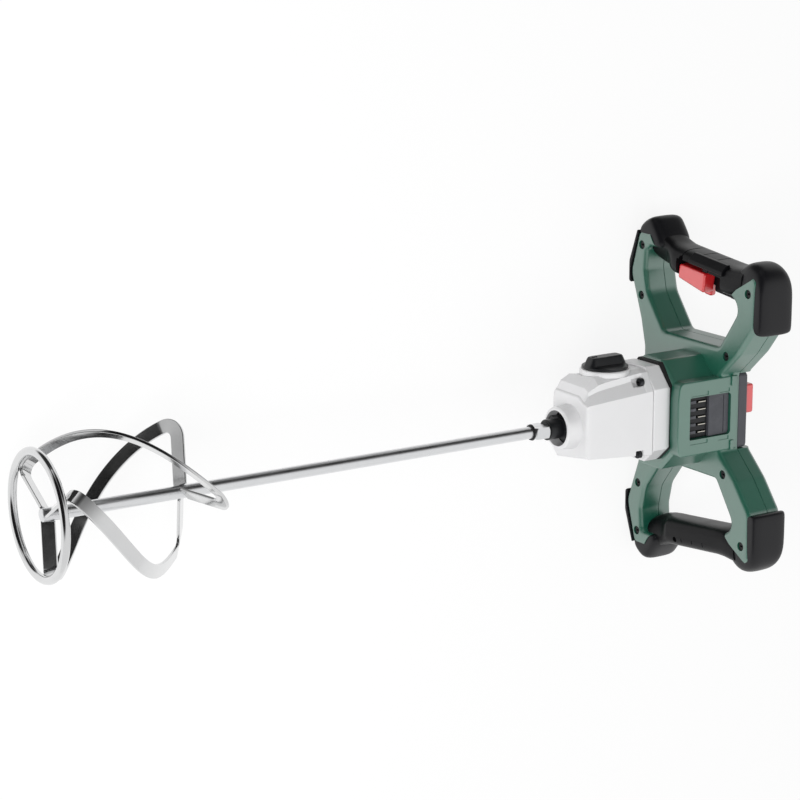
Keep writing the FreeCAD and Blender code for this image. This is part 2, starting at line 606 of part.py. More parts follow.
# Layshaft, its two pinions, large gear and bearings
lay_radius = "lay_dia / 2 - run_clear"
layshaft_front = f"{FRONT_WALL} - lay_bearing_width"
layshaft = new_body("layshaft", f"{BLOCK_FRONT} + {layshaft_front}", "lay_reach")
pad(layshaft, [("0", "0", lay_radius)], f"{WALL} + lay_bearing_width - ({layshaft_front})")
for label, place, teeth in (("low_pinion", LOW_GEAR, "low_pinion_teeth"),
                            ("high_pinion", HIGH_GEAR, "high_pinion_teeth")):
    gear(label, f"{BLOCK_FRONT} + {place}", teeth, "gear_width", lay_radius, "lay_reach", BACK, gap=True)
gear("layshaft_gear", f"{BLOCK_FRONT} + {LAY_GEAR}", "lay_teeth", "lay_gear_width", lay_radius,
     "lay_reach", BACK)
bearing("layshaft_front_bearing", f"{BLOCK_FRONT} + {layshaft_front}", "lay_dia", "lay_bearing_dia",
        "lay_bearing_width", "lay_reach")
bearing("layshaft_rear_bearing", f"{BLOCK_FRONT} + {WALL}", "lay_dia", "lay_bearing_dia",
        "lay_bearing_width", "lay_reach")

# Bearing plate across the housing, behind the gears
cavity = octagon("cavity_top", "cavity_low", "cavity_half", "cavity_flat", "cavity_edge", "cavity_flat",
                 "cavity_flat")
plate_outline = octagon("cavity_top - seat_clear", "cavity_low - seat_clear", "cavity_half - seat_clear",
                        "cavity_flat - seat_clear", "cavity_edge - seat_clear", "cavity_flat - seat_clear",
                        "cavity_flat - seat_clear")
plate = new_body("bearing_plate", f"{BLOCK_FRONT} + {PLATE}")
pad(plate, [plate_outline], "plate_thick")
cut(plate, [("0", "0", "rear_bearing_dia / 2 + seat_clear")], "plate_thick")
cut(plate, [("lay_reach", "0", "lay_dia / 2 + slip_clear")], "plate_thick")
cut(plate, [("shift_rod_reach", "0", "shift_rod_dia / 2 + seat_clear")], "shift_rod_bite")

# Gear housing: a cast block that widens to the rear, with a slotted collar and a knob boss


def between(front, rear):
    return f"{front} + ({rear} - {front}) * shoulder_length / block_length"


face_section = octagon("block_top_front - block_bevel", "block_low_front - block_bevel",
                       "block_half_front - block_bevel", "block_flat_half - block_bevel / 2",
                       "block_edge_front - block_bevel / 2", "block_low_flat - block_bevel / 2",
                       "block_low_edge_front - block_bevel / 2")
front_section = octagon("block_top_front", "block_low_front", "block_half_front", "block_flat_half",
                        "block_edge_front", "block_low_flat", "block_low_edge_front")
shoulder_section = octagon("block_top_shoulder", between("block_low_front", "block_low_rear"),
                           between("block_half_front", "block_half_rear"), "block_flat_half",
                           between("block_edge_front", "block_edge_rear"), "block_low_flat",
                           between("block_low_edge_front", "block_low_edge_rear"))
rear_section = octagon("block_top_rear", "block_low_rear", "block_half_rear", "block_flat_half",
                       "block_edge_rear", "block_low_flat", "block_low_edge_rear")
housing = new_body("gear_housing", BLOCK_FRONT)
loft(housing, [(face_section, "0"), (front_section, "block_bevel"), (shoulder_section, "shoulder_length"),
               (rear_section, "block_length")])
turned(housing, [("-collar_length", "0"), ("shoulder_length", "0"),
                 ("shoulder_length", "collar_root_dia / 2 + collar_flare"),
                 ("0", "collar_root_dia / 2 + collar_flare"), ("-collar_flare", "collar_root_dia / 2"),
                 ("-collar_length", "collar_dia / 2")])
pad(housing, [(KNOB, "0", "boss_dia / 2")], f"{BOSS_TOP} - cavity_top", negative(BOSS_TOP), "XZ_Plane")
cut(housing, [cavity], f"block_length - ({FRONT_WALL})", FRONT_WALL)
cut(housing, [("0", "0", "collar_bore / 2")], f"collar_length + {FRONT_BEARING} + front_bearing_width",
    "-collar_length")
cut(housing, [("0", "0", f"{gear_radius} + pass_clear")], "bearing_web", f"{FRONT_WALL} - bearing_web")
cut(housing, [("lay_reach", "0", "lay_bearing_dia / 2 + seat_clear")], "lay_bearing_width", layshaft_front)
cut(housing, [("shift_rod_reach", "0", "shift_rod_dia / 2 + seat_clear")], "shift_rod_bite",
    f"{FRONT_WALL} - shift_rod_bite")
collar_slot = rectangle("-collar_length", "-collar_length + slot_depth", "-slot_width / 2", "slot_width / 2")
cut(housing, [collar_slot], "2 * collar_dia", "-collar_dia", "XY_Plane")
cut(housing, [(KNOB, "0", "knob_shaft_dia / 2 + run_clear")], "block_top_shoulder - lay_reach",
    negative(f"{BOSS_TOP} + cut_over"), "XZ_Plane")
screw_seat = "block_length - screw_land"
trough_front = "trough_start + shoulder_length"
trough_length = f"{screw_seat} - ({trough_front})"
head_hole = "gear_head_dia / 2 + head_clear"
thread_hole = "gear_screw_dia / 2 + seat_clear"
notch_front = f"{screw_seat} - notch_length"
for way in ("", "-"):
    trough = [("block_top_rear + cut_over", f"{way}(block_flat_half - cut_over)"),
              ("trough_reach", f"{way}trough_side"), ("trough_lip", f"{way}(block_half_rear + cut_over)"),
              ("block_top_rear + cut_over", f"{way}(block_half_rear + cut_over)")]
    cut(housing, [trough], trough_length, trough_front)
    upper = ("upper_screw_reach", f"{way}upper_screw_side")
    cut(housing, [(*upper, head_hole)], trough_length, trough_front)
    lower = ("-lower_screw_reach", f"{way}lower_screw_side")
    cut(housing, [(*lower, head_hole)], "notch_length", notch_front)
    notch = rectangle("-lower_screw_reach - gear_head_dia / 2", "-lower_screw_reach + gear_head_dia / 2",
                      f"{way}lower_screw_side", f"{way}(block_half_rear + cut_over)")
    cut(housing, [notch], "notch_length", notch_front)
    for spot in (upper, lower):
        cut(housing, [(*spot, thread_hole)], "screw_land", screw_seat)

# Gear cover: the flange behind the housing, with the wall between gears and motor
gear_screw_spots = [(reach, way + side) for way in ("", "-") for reach, side in (
    ("upper_screw_reach", "upper_screw_side"), ("-lower_screw_reach", "lower_screw_side"))]
cover_wall_front = f"{WALL} - block_length"
cover_wall_rear = f"{WALL_REAR} - block_length"
gear_cover = new_body("gear_cover", SEAM)
pad(gear_cover, [octagon("flange_top", "flange_low", "flange_half", "flange_flat", "flange_edge",
                         "flange_low_flat", "flange_low_edge")], "flange_length")
pad(gear_cover, [("0", "0", "spigot_dia / 2")], "spigot_length", "flange_length")
cut(gear_cover, [("lay_reach", "0", "gear_module * (lay_teeth / 2 + 1) + cut_over")], cover_wall_front)
cut(gear_cover, [("0", "0", "gear_module * (motor_teeth / 2 + 1) + cut_over")], cover_wall_front)
cut(gear_cover, [("lay_reach", "0", "lay_bearing_dia / 2 + seat_clear")], "lay_bearing_width",
    cover_wall_front)
cut(gear_cover, [("0", "0", "gear_module * (motor_teeth / 2 + 1) + slip_clear")], cover_wall_rear)
cut(gear_cover, [("0", "0", "motor_bearing_dia / 2 + seat_clear")], "motor_bearing_width",
    f"{cover_wall_rear} - motor_bearing_width")
cut(gear_cover, [("0", "0", "spigot_dia / 2 - spigot_wall")],
    f"flange_length + spigot_length - ({cover_wall_rear})", cover_wall_rear)
cut(gear_cover, [(*spot, thread_hole) for spot in gear_screw_spots], "gear_screw_bite")

SOCKET_SHARE = 0.45


def screw(length, thread, head, rise):
    """A socket head screw that points along the shaft, the underside of its head at the origin."""
    along = FreeCAD.Vector(1, 0, 0)
    shank = Part.makeCylinder(thread / 2, length, FreeCAD.Vector(), along)
    cap = Part.makeCylinder(head / 2, rise, FreeCAD.Vector(-rise, 0, 0), along)
    socket = Part.makeCylinder(head / 2 * SOCKET_SHARE, rise / 2, FreeCAD.Vector(-rise, 0, 0), along)
    return shank.fuse(cap).cut(socket).removeSplitter()


def screw_group(label, station, spots, head, length, thread, rise):
    """Equal screws in one piece; a spot is the station of the head's seat, a reach and a side."""
    screws = []
    for seat_place, reach, side, run in spots:
        one = screw(size(run or length), size(thread), size(head), size(rise))
        one.translate(FreeCAD.Vector(size(seat_place), size(reach), size(side)))
        screws.append(one)
    new_solid(label, Part.makeCompound(screws), station)


screw_group("gear_housing_screws", f"{BLOCK_FRONT} + {screw_seat}",
            [("0", *spot, None) for spot in gear_screw_spots], "gear_head_dia",
            "screw_land + gear_screw_bite", "gear_screw_dia", "gear_head_rise")

# Gear selector knob: a disc with a grip bar, a shaft through the boss and an eccentric pin below
knob = new_body("selector_knob", f"{BLOCK_FRONT} + {KNOB}", BOSS_TOP)
knob_shaft_low = f"{BOSS_TOP} - cavity_top + cut_over"
pin_low = f"{BOSS_TOP} - ({fork_top}) + fork_slot - slip_clear"
pin_side = "pin_offset / sqrt(2)"
bar_half = "knob_dia / 2 - knob_round"
pad(knob, [("0", "0", "knob_dia / 2")], "knob_disc", "-slip_clear - knob_disc", "XZ_Plane")
bar_foot = "slip_clear + knob_disc"
bar_top = "slip_clear + knob_rise"
bar_top_half = f"{bar_half} - knob_bar_slope"
pad(knob, [[(negative(bar_half), bar_foot), (bar_half, bar_foot), (bar_top_half, bar_top),
            (negative(bar_top_half), bar_top)]], "knob_bar_width", "-knob_bar_width / 2", "XY_Plane")
pad(knob, [("0", "0", "knob_shaft_dia / 2")], f"slip_clear + {knob_shaft_low}", "-slip_clear", "XZ_Plane")
pad(knob, [(negative(pin_side), pin_side, "pin_dia / 2")], f"{pin_low} - ({knob_shaft_low})",
    knob_shaft_low, "XZ_Plane")

# Motor
FAN = f"{FLANGE_REAR} + fan_gap"
STATOR = f"{FAN} + fan_width + stator_gap"
BELL = f"{STATOR} + stator_length + bell_gap"
rotor_front = f"{BLOCK_FRONT} + {LAY_GEAR}"
rotor_wall = "lay_gear_width + wall_gap"
rotor_seat = f"{rotor_wall} + wall_thick"
rotor_bell = (f"block_length + flange_length + fan_gap + fan_width + stator_gap + stator_length + bell_gap"
              f" - ({LAY_GEAR})")
rotor_shaft = new_body("rotor_shaft", rotor_front)
turned(rotor_shaft, [
    ("0", "0"), (f"{rotor_bell} + end_bearing_width", "0"),
    (f"{rotor_bell} + end_bearing_width", "end_seat_dia / 2 - run_clear"),
    (rotor_bell, "end_seat_dia / 2 - run_clear"), (rotor_bell, "rotor_shaft_dia / 2"),
    (rotor_seat, "rotor_shaft_dia / 2"), (rotor_seat, "motor_seat_dia / 2 - run_clear"),
    (rotor_wall, "motor_seat_dia / 2 - run_clear"), (rotor_wall, "motor_shaft_tip / 2"),
    ("0", "motor_shaft_tip / 2")])
gear("motor_pinion", rotor_front, "motor_teeth", "lay_gear_width", "motor_shaft_tip / 2", facing=AWAY,
     gap=True)
rotor_core = new_body("rotor_core", f"{STATOR} + stator_length / 2 - rotor_length / 2")
pad(rotor_core, [("0", "0", "rotor_dia / 2"), ("0", "0", "rotor_shaft_dia / 2")], "rotor_length")
fan = new_body("cooling_fan", FAN)
pad(fan, [("0", "0", "fan_dia / 2"), ("0", "0", "rotor_shaft_dia / 2")], "fan_disc")
pad(fan, [("0", "0", "rotor_shaft_dia"), ("0", "0", "rotor_shaft_dia / 2")], "fan_width")
blade_patch = rectangle("rotor_shaft_dia - fan_disc", "fan_dia / 2 - fan_disc", "-fan_blade_thick / 2",
                        "fan_blade_thick / 2")
fan_blade = pad(fan, [blade_patch], "fan_width")
polar(fan, fan_blade, "fan_blades")

tooth_inner = "rotor_dia / 2 + rotor_gap"
yoke_inner = "stator_dia / 2 - stator_yoke"
stator = new_body("stator_core", STATOR)
pad(stator, [("0", "0", "stator_dia / 2"), ("0", "0", yoke_inner)], "stator_length")
tooth_patch = rectangle(tooth_inner, f"{yoke_inner} + stator_yoke / 2", "-stator_tooth_width / 2",
                        "stator_tooth_width / 2")
stator_tooth = pad(stator, [tooth_patch], "stator_length")
polar(stator, stator_tooth, "stator_teeth")


def coil():
    """One winding: a rectangular hoop round a tooth of the stator."""
    wrap = size("stator_yoke") * COIL_WRAP_SHARE
    low = size(tooth_inner) + wrap / 2
    high = size(yoke_inner) - wrap / 2
    tooth = size("stator_tooth_width + 2 * run_clear")
    length = size("stator_length + 2 * run_clear")
    outer = Part.makeBox(length + 2 * wrap, high - low, tooth + 2 * wrap,
                         FreeCAD.Vector(-wrap, low, -tooth / 2 - wrap))
    inner = Part.makeBox(length, high - low, tooth, FreeCAD.Vector(0, low, -tooth / 2))
    return outer.cut(inner)


COIL_WRAP_SHARE = 0.6
coils = []
for number in range(int(size("stator_teeth"))):
    one = coil()
    one.rotate(FreeCAD.Vector(), FreeCAD.Vector(1, 0, 0), 360 * number / size("stator_teeth"))
    coils.append(one)
new_solid("stator_coils", Part.makeCompound(coils), f"{STATOR} - run_clear")

end_bell = new_body("motor_end_bell", BELL)
bell_seat = "end_bearing_dia / 2 + seat_clear"
bell_lip = "end_bearing_dia / 2 - bearing_recess * 2"
turned(end_bell, [("0", bell_seat), ("end_bearing_width", bell_seat), ("end_bearing_width", bell_lip),
                  ("bell_thick", bell_lip), ("bell_thick", "stator_dia / 2"), ("0", "stator_dia / 2")])
bearing("motor_front_bearing", f"{BLOCK_FRONT} + {WALL_REAR} - motor_bearing_width", "motor_seat_dia",
        "motor_bearing_dia", "motor_bearing_width")
bearing("motor_rear_bearing", BELL, "end_seat_dia", "end_bearing_dia", "end_bearing_width")

# Shells: one outline for both handles, split across the shaft into a front and a rear shell
core_left = on_grip("core_half", "-grip_left - core_lead")
core_right = on_grip("core_half", "grip_right + core_lead")
left_end_reach = "grip_reach + left_end_reach"
left_end = [(left_end_reach, "-left_end_side"), (left_end_reach, "-left_end_inner")]
arm_left = [("left_root_reach", "-left_root_side"), ("left_bow_reach", "-left_bow_side"),
            ("left_knee_reach", "-left_knee_side")]
arm_right = [("grip_reach + right_end_reach", "right_end_side"), ("right_knee_reach", "right_knee_side"),
             ("right_bow_reach", "right_bow_side"), ("right_root_reach", "bay_side")]
upper_outline = arm_left + left_end + [core_left, core_right] + arm_right
outline = upper_outline + mirrored(upper_outline)
window = [("window_reach", "-window_left_side"), ("window_left_bow_reach", "-window_left_bow_side"),
          ("window_left_top_reach", "-window_left_top_side"),
          on_grip("-core_half", "-grip_left - 2 * core_lead"), on_grip("-core_half", "grip_right"),
          ("window_right_bow_reach", "window_right_bow_side"), ("window_reach", "window_right_side")]
loops = [outline, window, mirrored(window)]


def grip_patch(low, high, left, right):
    """A rectangle across and along the upper grip, as corners of reach and side."""
    return [on_grip(low, left), on_grip(high, left), on_grip(high, right), on_grip(low, right)]


def both(corners):
    return [corners, mirrored(corners)]


grip_zone = both(grip_patch("-grip_half", "grip_half", "-grip_left", "grip_right"))
hollow_half = "core_half - core_wall"
core_hollow = both(grip_patch(negative(hollow_half), hollow_half, "-grip_left", "grip_right"))
arm_screws = [("screw_left_high", "-screw_left_high_side"), ("screw_left_low", "-screw_left_low_side"),
              ("screw_right_high", "screw_right_high_side"), ("screw_right_low", "screw_right_low_side")]
arm_screws += mirrored(arm_screws)
grip_screw = on_grip("screw_grip_across", "-screw_grip_along")
grip_screws = [grip_screw] + mirrored([grip_screw])


def round_arms(body, station):
    """Round the bends of the four arms, then bevel their edges on the face at a station."""
    for corners, radius in ((arm_left[:1], "root_round"), ([arm_left[1], arm_right[2]], "bow_round"),
                            ([window[1], window[5]], "window_bow_round"),
                            ([window[0], window[2], window[3], window[6]], "window_round")):
        soften(body, "Fillet", edges_along(body, 0, corners + mirrored(corners)), radius)
    names = []
    for corners in both(arm_left + left_end) + both(arm_right[:3]) + both(window[:3]):
        names += edges_of_outline(body, station, corners)
    soften(body, "Chamfer", names, "shell_bevel")


front_shell = new_body("front_shell", FLANGE_REAR)
pad(front_shell, loops, "front_depth", "neck_length")
round_arms(front_shell, "neck_length")
neck = octagon("neck_top", "neck_top", "neck_half", "neck_flat", "neck_edge", "neck_flat", "neck_edge")
flared_top = "neck_top + neck_flare"
flared_flat = "neck_flat + neck_flare / 2"
flared_edge = "neck_edge + neck_flare / 2"
flared_neck = octagon(flared_top, flared_top, "neck_half + neck_flare", flared_flat, flared_edge, flared_flat,
                      flared_edge)
loft(front_shell, [(neck, "0"), (neck, "neck_length - neck_flare_length"), (flared_neck, "neck_length")])
bay_front = [("bay_bow", "-bay_reach"), ("bay_bow", "bay_reach")]
pad(front_shell, [[("0", "-bay_flat"), bay_front[0], ("neck_length + shell_bevel", "-bay_reach"),
                   ("neck_length + shell_bevel", "bay_reach"), bay_front[1], ("0", "bay_flat")]],
    "bay_side - bay_base", "bay_base", "XY_Plane")
soften(front_shell, "Fillet", edges_along(front_shell, 2, bay_front), "bay_corner")
stop_rows = [rectangle("stop_front", "stop_front + stop_length", f"{way}stop_reach - stop_width / 2",
                       f"{way}stop_reach + stop_width / 2") for way in ("", "-")]
pad(front_shell, stop_rows, "stop_rise", "bay_side", "XY_Plane")
shell_length = "neck_length + front_depth"
cut(front_shell, [("0", "0", "stator_dia / 2 + slip_clear")], shell_length)
cut(front_shell, [rectangle("-control_reach", "control_reach", "-control_outer", "-control_inner")],
    "control_depth", f"{shell_length} - control_depth")
cut(front_shell, grip_zone, "core_front_inset", "neck_length")
core_hollow_front = "core_front_inset + core_wall"
cut(front_shell, core_hollow, f"front_depth - ({core_hollow_front})", f"neck_length + {core_hollow_front}")
trigger_rear = "trigger_front_inset + trigger_depth + slip_clear"
trigger_top = "trigger_travel - trigger_high + cut_over"
trigger_pocket = grip_patch("-grip_half", trigger_top, "-trigger_left - slip_clear",
                            "trigger_right + slip_clear")
cut(front_shell, [trigger_pocket], f"{trigger_rear} - core_front_inset", "neck_length + core_front_inset")
cut(front_shell, [rectangle("-recess_reach", "recess_reach", "bay_floor", "bay_side + cut_over")],
    "recess_length", "recess_front")
cut(front_shell, [(*spot, "shell_bore_dia / 2") for spot in arm_screws], "shell_bore_depth", "neck_length")
cut(front_shell, [(*spot, "shell_screw_dia / 2 + thread_clear") for spot in arm_screws + grip_screws],
    "front_depth", "neck_length")

rear_shell = new_body("rear_shell", SPLIT)
pad(rear_shell, loops, "rear_depth")
round_arms(rear_shell, "rear_depth")
cover_opening = rectangle("-cover_reach - slip_clear", "cover_reach + slip_clear", "-cover_side - slip_clear",
                          "bay_side + cut_over")
cut(rear_shell, [cover_opening], "rear_depth")
cut(rear_shell, grip_zone, "core_rear_inset", "rear_depth - core_rear_inset")
cut(rear_shell, core_hollow, "rear_depth - core_rear_inset - core_wall")
cut(rear_shell, [(*spot, "shell_screw_dia / 2 + seat_clear") for spot in arm_screws + grip_screws],
    "shell_screw_bite")
arm_spots = [("shell_bore_depth", *spot, None) for spot in arm_screws]
grip_run = "front_depth - core_front_inset + shell_screw_bite"
grip_spots = [("core_front_inset", *spot, grip_run) for spot in grip_screws]
screw_group("shell_screws", LOOP_FRONT, arm_spots + grip_spots, "shell_head_dia",
            "front_depth - shell_bore_depth + shell_screw_bite", "shell_screw_dia", "shell_head_rise")

control = new_body("control_unit", f"{SPLIT} - control_depth + control_gap")
pad(control, [rectangle("-control_reach + control_gap", "control_reach - control_gap",
                        "-control_outer + control_gap", "-control_inner - control_gap")],
    "control_depth - 2 * control_gap")

# Grips: soft halves round the core of each shell, tilted with the handle
front_out = "-front_depth + grip_front_inset"
front_core = "-front_depth + core_front_inset"
rear_out = "rear_depth - grip_rear_inset"
rear_core = "rear_depth - core_rear_inset"
grip_length = "grip_left + grip_right"


def grip_half(label, handle, outer, core):
    """A channel of soft plastic from the split to the outer face, round the core."""
    tilt = "grip_angle" if handle == "upper" else "-grip_angle"
    reach = "grip_reach" if handle == "upper" else "-grip_reach"
    body = new_body(label, SPLIT, reach, tilt=tilt)
    pad(body, [[("0", "-grip_half"), ("0", "-core_half"), (core, "-core_half"), (core, "core_half"),
                ("0", "core_half"), ("0", "grip_half"), (outer, "grip_half"), (outer, "-grip_half")]],
        grip_length, "-grip_left", "XY_Plane")
    rounded = edges_along(body, 2, [(outer, "grip_half"), (outer, "-grip_half")])
    soften(body, "Fillet", rounded, "grip_round")
    return body


grips = {(handle, end): grip_half(f"{handle}_grip_{end}", handle, outer, core)
         for handle in ("upper", "lower")
         for end, outer, core in (("front", front_out, front_core), ("rear", rear_out, rear_core))}
for handle, across in (("upper", "screw_grip_across"), ("lower", "-screw_grip_across")):
    cut(grips[handle, "front"], [(across, "-screw_grip_along", "shell_bore_dia / 2")],
        "core_front_inset - grip_front_inset", front_out)

upper_front = grips["upper", "front"]
trigger_front = "-front_depth + trigger_front_inset"
pad(upper_front, [rectangle(trigger_front, "0", "-switch_box_low", "-core_half")],
    "switch_box_end - trigger_right - slip_clear", "trigger_right + slip_clear", "XY_Plane")
cut(upper_front, [rectangle(f"{front_out} - cut_over", f"-front_depth + {trigger_rear}", "-switch_box_low",
                            trigger_top)],
    "trigger_left + trigger_right + 2 * slip_clear", "-trigger_left - slip_clear", "XY_Plane")
ledge_front = f"{front_out} - ledge_proud"
ledge_rear = f"{ledge_front} + ledge_depth"
pad(upper_front, [[(ledge_front, "ledge_low"), (ledge_rear, "ledge_low"), (ledge_rear, "ledge_top"),
                   (ledge_front, "ledge_high")]], "ledge_left + ledge_right", "-ledge_left", "XY_Plane")
lock_run = "lock_left + lock_right + 2 * slip_clear"
lock_half = "lock_depth / 2 + slip_clear"
cut(upper_front, [rectangle(negative(lock_half), "0", "-switch_box_low", "-core_half")], lock_run,
    "-lock_left - slip_clear", "XY_Plane")
cut(grips["upper", "rear"], [rectangle("0", lock_half, "-switch_box_low", "-core_half")], lock_run,
    "-lock_left - slip_clear", "XY_Plane")

# Trigger, lock button and switch in the upper grip
trigger = new_body("trigger", SPLIT, "grip_reach", tilt="grip_angle")
trigger_back = "-front_depth + trigger_front_inset + trigger_depth"
pad(trigger, [rectangle(trigger_front, trigger_back, "-trigger_low", "-trigger_high")],
    "trigger_left + trigger_right", "-trigger_left", "XY_Plane")
trigger_edges = edges_along(trigger, 2, [(trigger_front, "-trigger_low"), (trigger_back, "-trigger_low")])
soften(trigger, "Fillet", trigger_edges, "trigger_round")
lock = new_body("lock_button", SPLIT, "grip_reach", tilt="grip_angle")
pad(lock, [rectangle("-lock_depth / 2", "lock_depth / 2", "-lock_low", "-lock_high")],
    "lock_left + lock_right", "-lock_left", "XY_Plane")
switch = new_body("switch_module", SPLIT, "grip_reach", tilt="grip_angle")
pad(switch, [rectangle("-switch_front", "switch_rear", "-switch_half", "switch_half")],
    "switch_left + switch_right", "-switch_left", "XY_Plane")

# Corner caps of rubber over the ends of the arms
strip_start = ("left_bow_reach + (left_knee_reach - left_bow_reach) * strip_share",
               "-left_bow_side - (left_knee_side - left_bow_side) * strip_share")
left_round = [("grip_reach + left_cap_shoulder", "-left_cap_shoulder_side"),
              ("grip_reach + left_cap_top", "-left_cap_top_side"),
              ("grip_reach + left_cap_inner", "-left_cap_inner_side")]
left_cap = [strip_start, ("cap_foot_start", negative(REST_HEIGHT)), ("cap_foot_end", negative(REST_HEIGHT))]
left_cap += left_round
left_cap += [on_grip("grip_half", "-grip_left - cap_gap"), on_grip("core_half", "-grip_left - cap_gap"),
             core_left, left_end[1], left_end[0], arm_left[2]]
right_top = "grip_reach + right_cap_top"
right_round = [("right_cap_heel", "right_cap_side"), ("grip_reach + right_cap_shoulder", "right_cap_side"),
               (right_top, "right_cap_top_side"), (right_top, "right_cap_inner_side")]
right_cap = [arm_right[1], ("right_cap_low", "right_cap_low_side")] + right_round + [
    on_grip("grip_half", "grip_right + cap_gap"), on_grip("core_half", "grip_right + cap_gap"), core_right,
    arm_right[0]]
for handle in ("upper", "lower"):
    for hand, corners, rounds in (("left", left_cap, left_round), ("right", right_cap, right_round)):
        cap = new_body(f"{handle}_{hand}_cap", f"{LOOP_FRONT} - cap_proud")
        spots = corners if handle == "upper" else mirrored(corners)
        pad(cap, [spots], "front_depth + rear_depth + 2 * cap_proud")
        round_spots = rounds if handle == "upper" else mirrored(rounds)
        soften(cap, "Fillet", edges_along(cap, 0, round_spots), "cap_round")
        rims = []
        for station in ("0", "front_depth + rear_depth + 2 * cap_proud"):
            rims += edges_of_outline(cap, station, round_spots)
        soften(cap, "Fillet", rims, "cap_edge")

# Battery bay
terminal_block = new_body("terminal_block", f"{FLANGE_REAR} + recess_front + bay_gap")
bay_half = "recess_reach - bay_gap"
pad(terminal_block, [rectangle(negative(bay_half), bay_half, "bay_floor", "bay_floor + block_rise")],
    "recess_length * block_share - bay_gap")
contact_places = [f"contact_step * ({number} - (contact_count - 1) / 2)" for number in range(
    int(size("contact_count")))]
cut(terminal_block, [rectangle(f"{place} - contact_slot / 2", f"{place} + contact_slot / 2",
                               "bay_floor + contact_floor", "bay_floor + block_rise + cut_over")
                     for place in contact_places], "contact_length + contact_slot", "contact_slot")
contacts = []
for place in contact_places:
    corner = FreeCAD.Vector(0, size(f"{place} - blade_metal / 2"), size("bay_floor + contact_floor"))
    contacts.append(Part.makeBox(size("contact_length"), size("blade_metal"), size("contact_rise"), corner))
new_solid("terminal_blades", Part.makeCompound(contacts), f"{FLANGE_REAR} + recess_front + 2 * contact_slot")
slide_plate = new_body("bay_plate", f"{FLANGE_REAR} + recess_front + recess_length * block_share + bay_gap")
pad(slide_plate, [rectangle(negative(bay_half), bay_half, "bay_floor", "bay_floor + plate_rise")],
    "recess_length * (1 - block_share) - 2 * bay_gap")

# Rear cover and its button
rear_cover = new_body("rear_cover", SPLIT)
cover_box = rectangle("-cover_reach", "cover_reach", "-cover_side", "cover_side")
pad(rear_cover, [cover_box], "cover_proud")
soften(rear_cover, "Fillet", edges_along(rear_cover, 0, cover_box), "cover_round")
inner_reach = "cover_reach - cover_wall"
inner_side = "cover_side - cover_wall"
cut(rear_cover, [rectangle(negative(inner_reach), inner_reach, negative(inner_side), inner_side)],
    "cover_proud - cover_wall")


def button_patch(margin):
    half_long = f"(button_long / 2 + {margin})"
    half_wide = f"(button_wide / 2 + {margin})"
    return rectangle(f"button_reach - {half_long}", f"button_reach + {half_long}",
                     f"button_side - {half_wide}", f"button_side + {half_wide}")


cut(rear_cover, [button_patch("slip_clear")], "cover_wall", "cover_proud - cover_wall")
button = new_body("rear_button", SPLIT)
button_foot = "cover_proud - cover_wall - slip_clear - button_flange"
pad(button, [button_patch("0")], f"cover_proud + button_rise - ({button_foot})", button_foot)
soften(button, "Fillet", edges_along(button, 0, button_patch("0")), "button_round")
pad(button, [button_patch("button_flange")], "button_flange", button_foot)

# Every object and every piece is sound before anything is written
doc.recompute()
for item in doc.Objects:
    if "Invalid" in item.State or "Error" in item.State:
        raise RuntimeError(f"{item.Label} failed: {item.State}")
os.makedirs("parts", exist_ok=True)
for piece in pieces:
    if piece.Shape.isNull() or not piece.Shape.isValid():
        raise RuntimeError(f"{piece.Label} has no sound shape")
for piece in pieces:
    piece.Shape.exportStep(f"parts/{piece.Label}.step")
print(len(pieces), "pieces")
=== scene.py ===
import math
import bpy
from mathutils import Matrix, Vector


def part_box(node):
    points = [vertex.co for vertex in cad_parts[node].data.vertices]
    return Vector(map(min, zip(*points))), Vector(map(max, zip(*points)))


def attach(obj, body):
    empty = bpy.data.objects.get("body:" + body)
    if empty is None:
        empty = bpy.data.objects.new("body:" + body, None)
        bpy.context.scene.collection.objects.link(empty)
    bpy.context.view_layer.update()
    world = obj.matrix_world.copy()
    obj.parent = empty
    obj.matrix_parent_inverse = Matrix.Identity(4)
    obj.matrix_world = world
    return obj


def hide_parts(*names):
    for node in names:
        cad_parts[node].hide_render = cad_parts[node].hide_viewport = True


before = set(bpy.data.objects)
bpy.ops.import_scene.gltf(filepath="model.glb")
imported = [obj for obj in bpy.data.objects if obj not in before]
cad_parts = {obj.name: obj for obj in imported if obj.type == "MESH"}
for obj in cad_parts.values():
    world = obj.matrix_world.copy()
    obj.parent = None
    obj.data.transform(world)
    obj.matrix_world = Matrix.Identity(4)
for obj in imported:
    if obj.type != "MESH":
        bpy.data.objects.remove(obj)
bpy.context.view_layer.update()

# Pieces are modelled in millimetres along the shaft: X is reach towards the upper handle, Y is side
# towards the battery, Z is the station from the front of the stirrer's ring. One matrix then takes a
# finished mesh into the frame.
MM = 0.001
RING_LOW, RING_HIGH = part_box("stirrer_ring")
SHAFT_HEIGHT = (RING_LOW.z + RING_HIGH.z) / 2
TO_FRAME = Matrix(((0, 0, MM, RING_LOW.x), (MM, 0, 0, 0), (0, MM, 0, SHAFT_HEIGHT), (0, 0, 0, 1)))
TURN_TO_BAY = Matrix(((0, 1, 0, 0), (0, 0, 1, 0), (1, 0, 0, 0), (0, 0, 0, 1)))
TURN_TO_KNOB = Matrix(((0, 0, 1, 0), (1, 0, 0, 0), (0, 1, 0, 0), (0, 0, 0, 1)))


def station_of(node, end):
    """Station of a node's front (0) or rear (1) end."""
    return (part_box(node)[end].x - RING_LOW.x) / MM


def side_of(node, end):
    """Side of a node's left (0) or right (1) end."""
    return (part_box(node)[end].z - SHAFT_HEIGHT) / MM


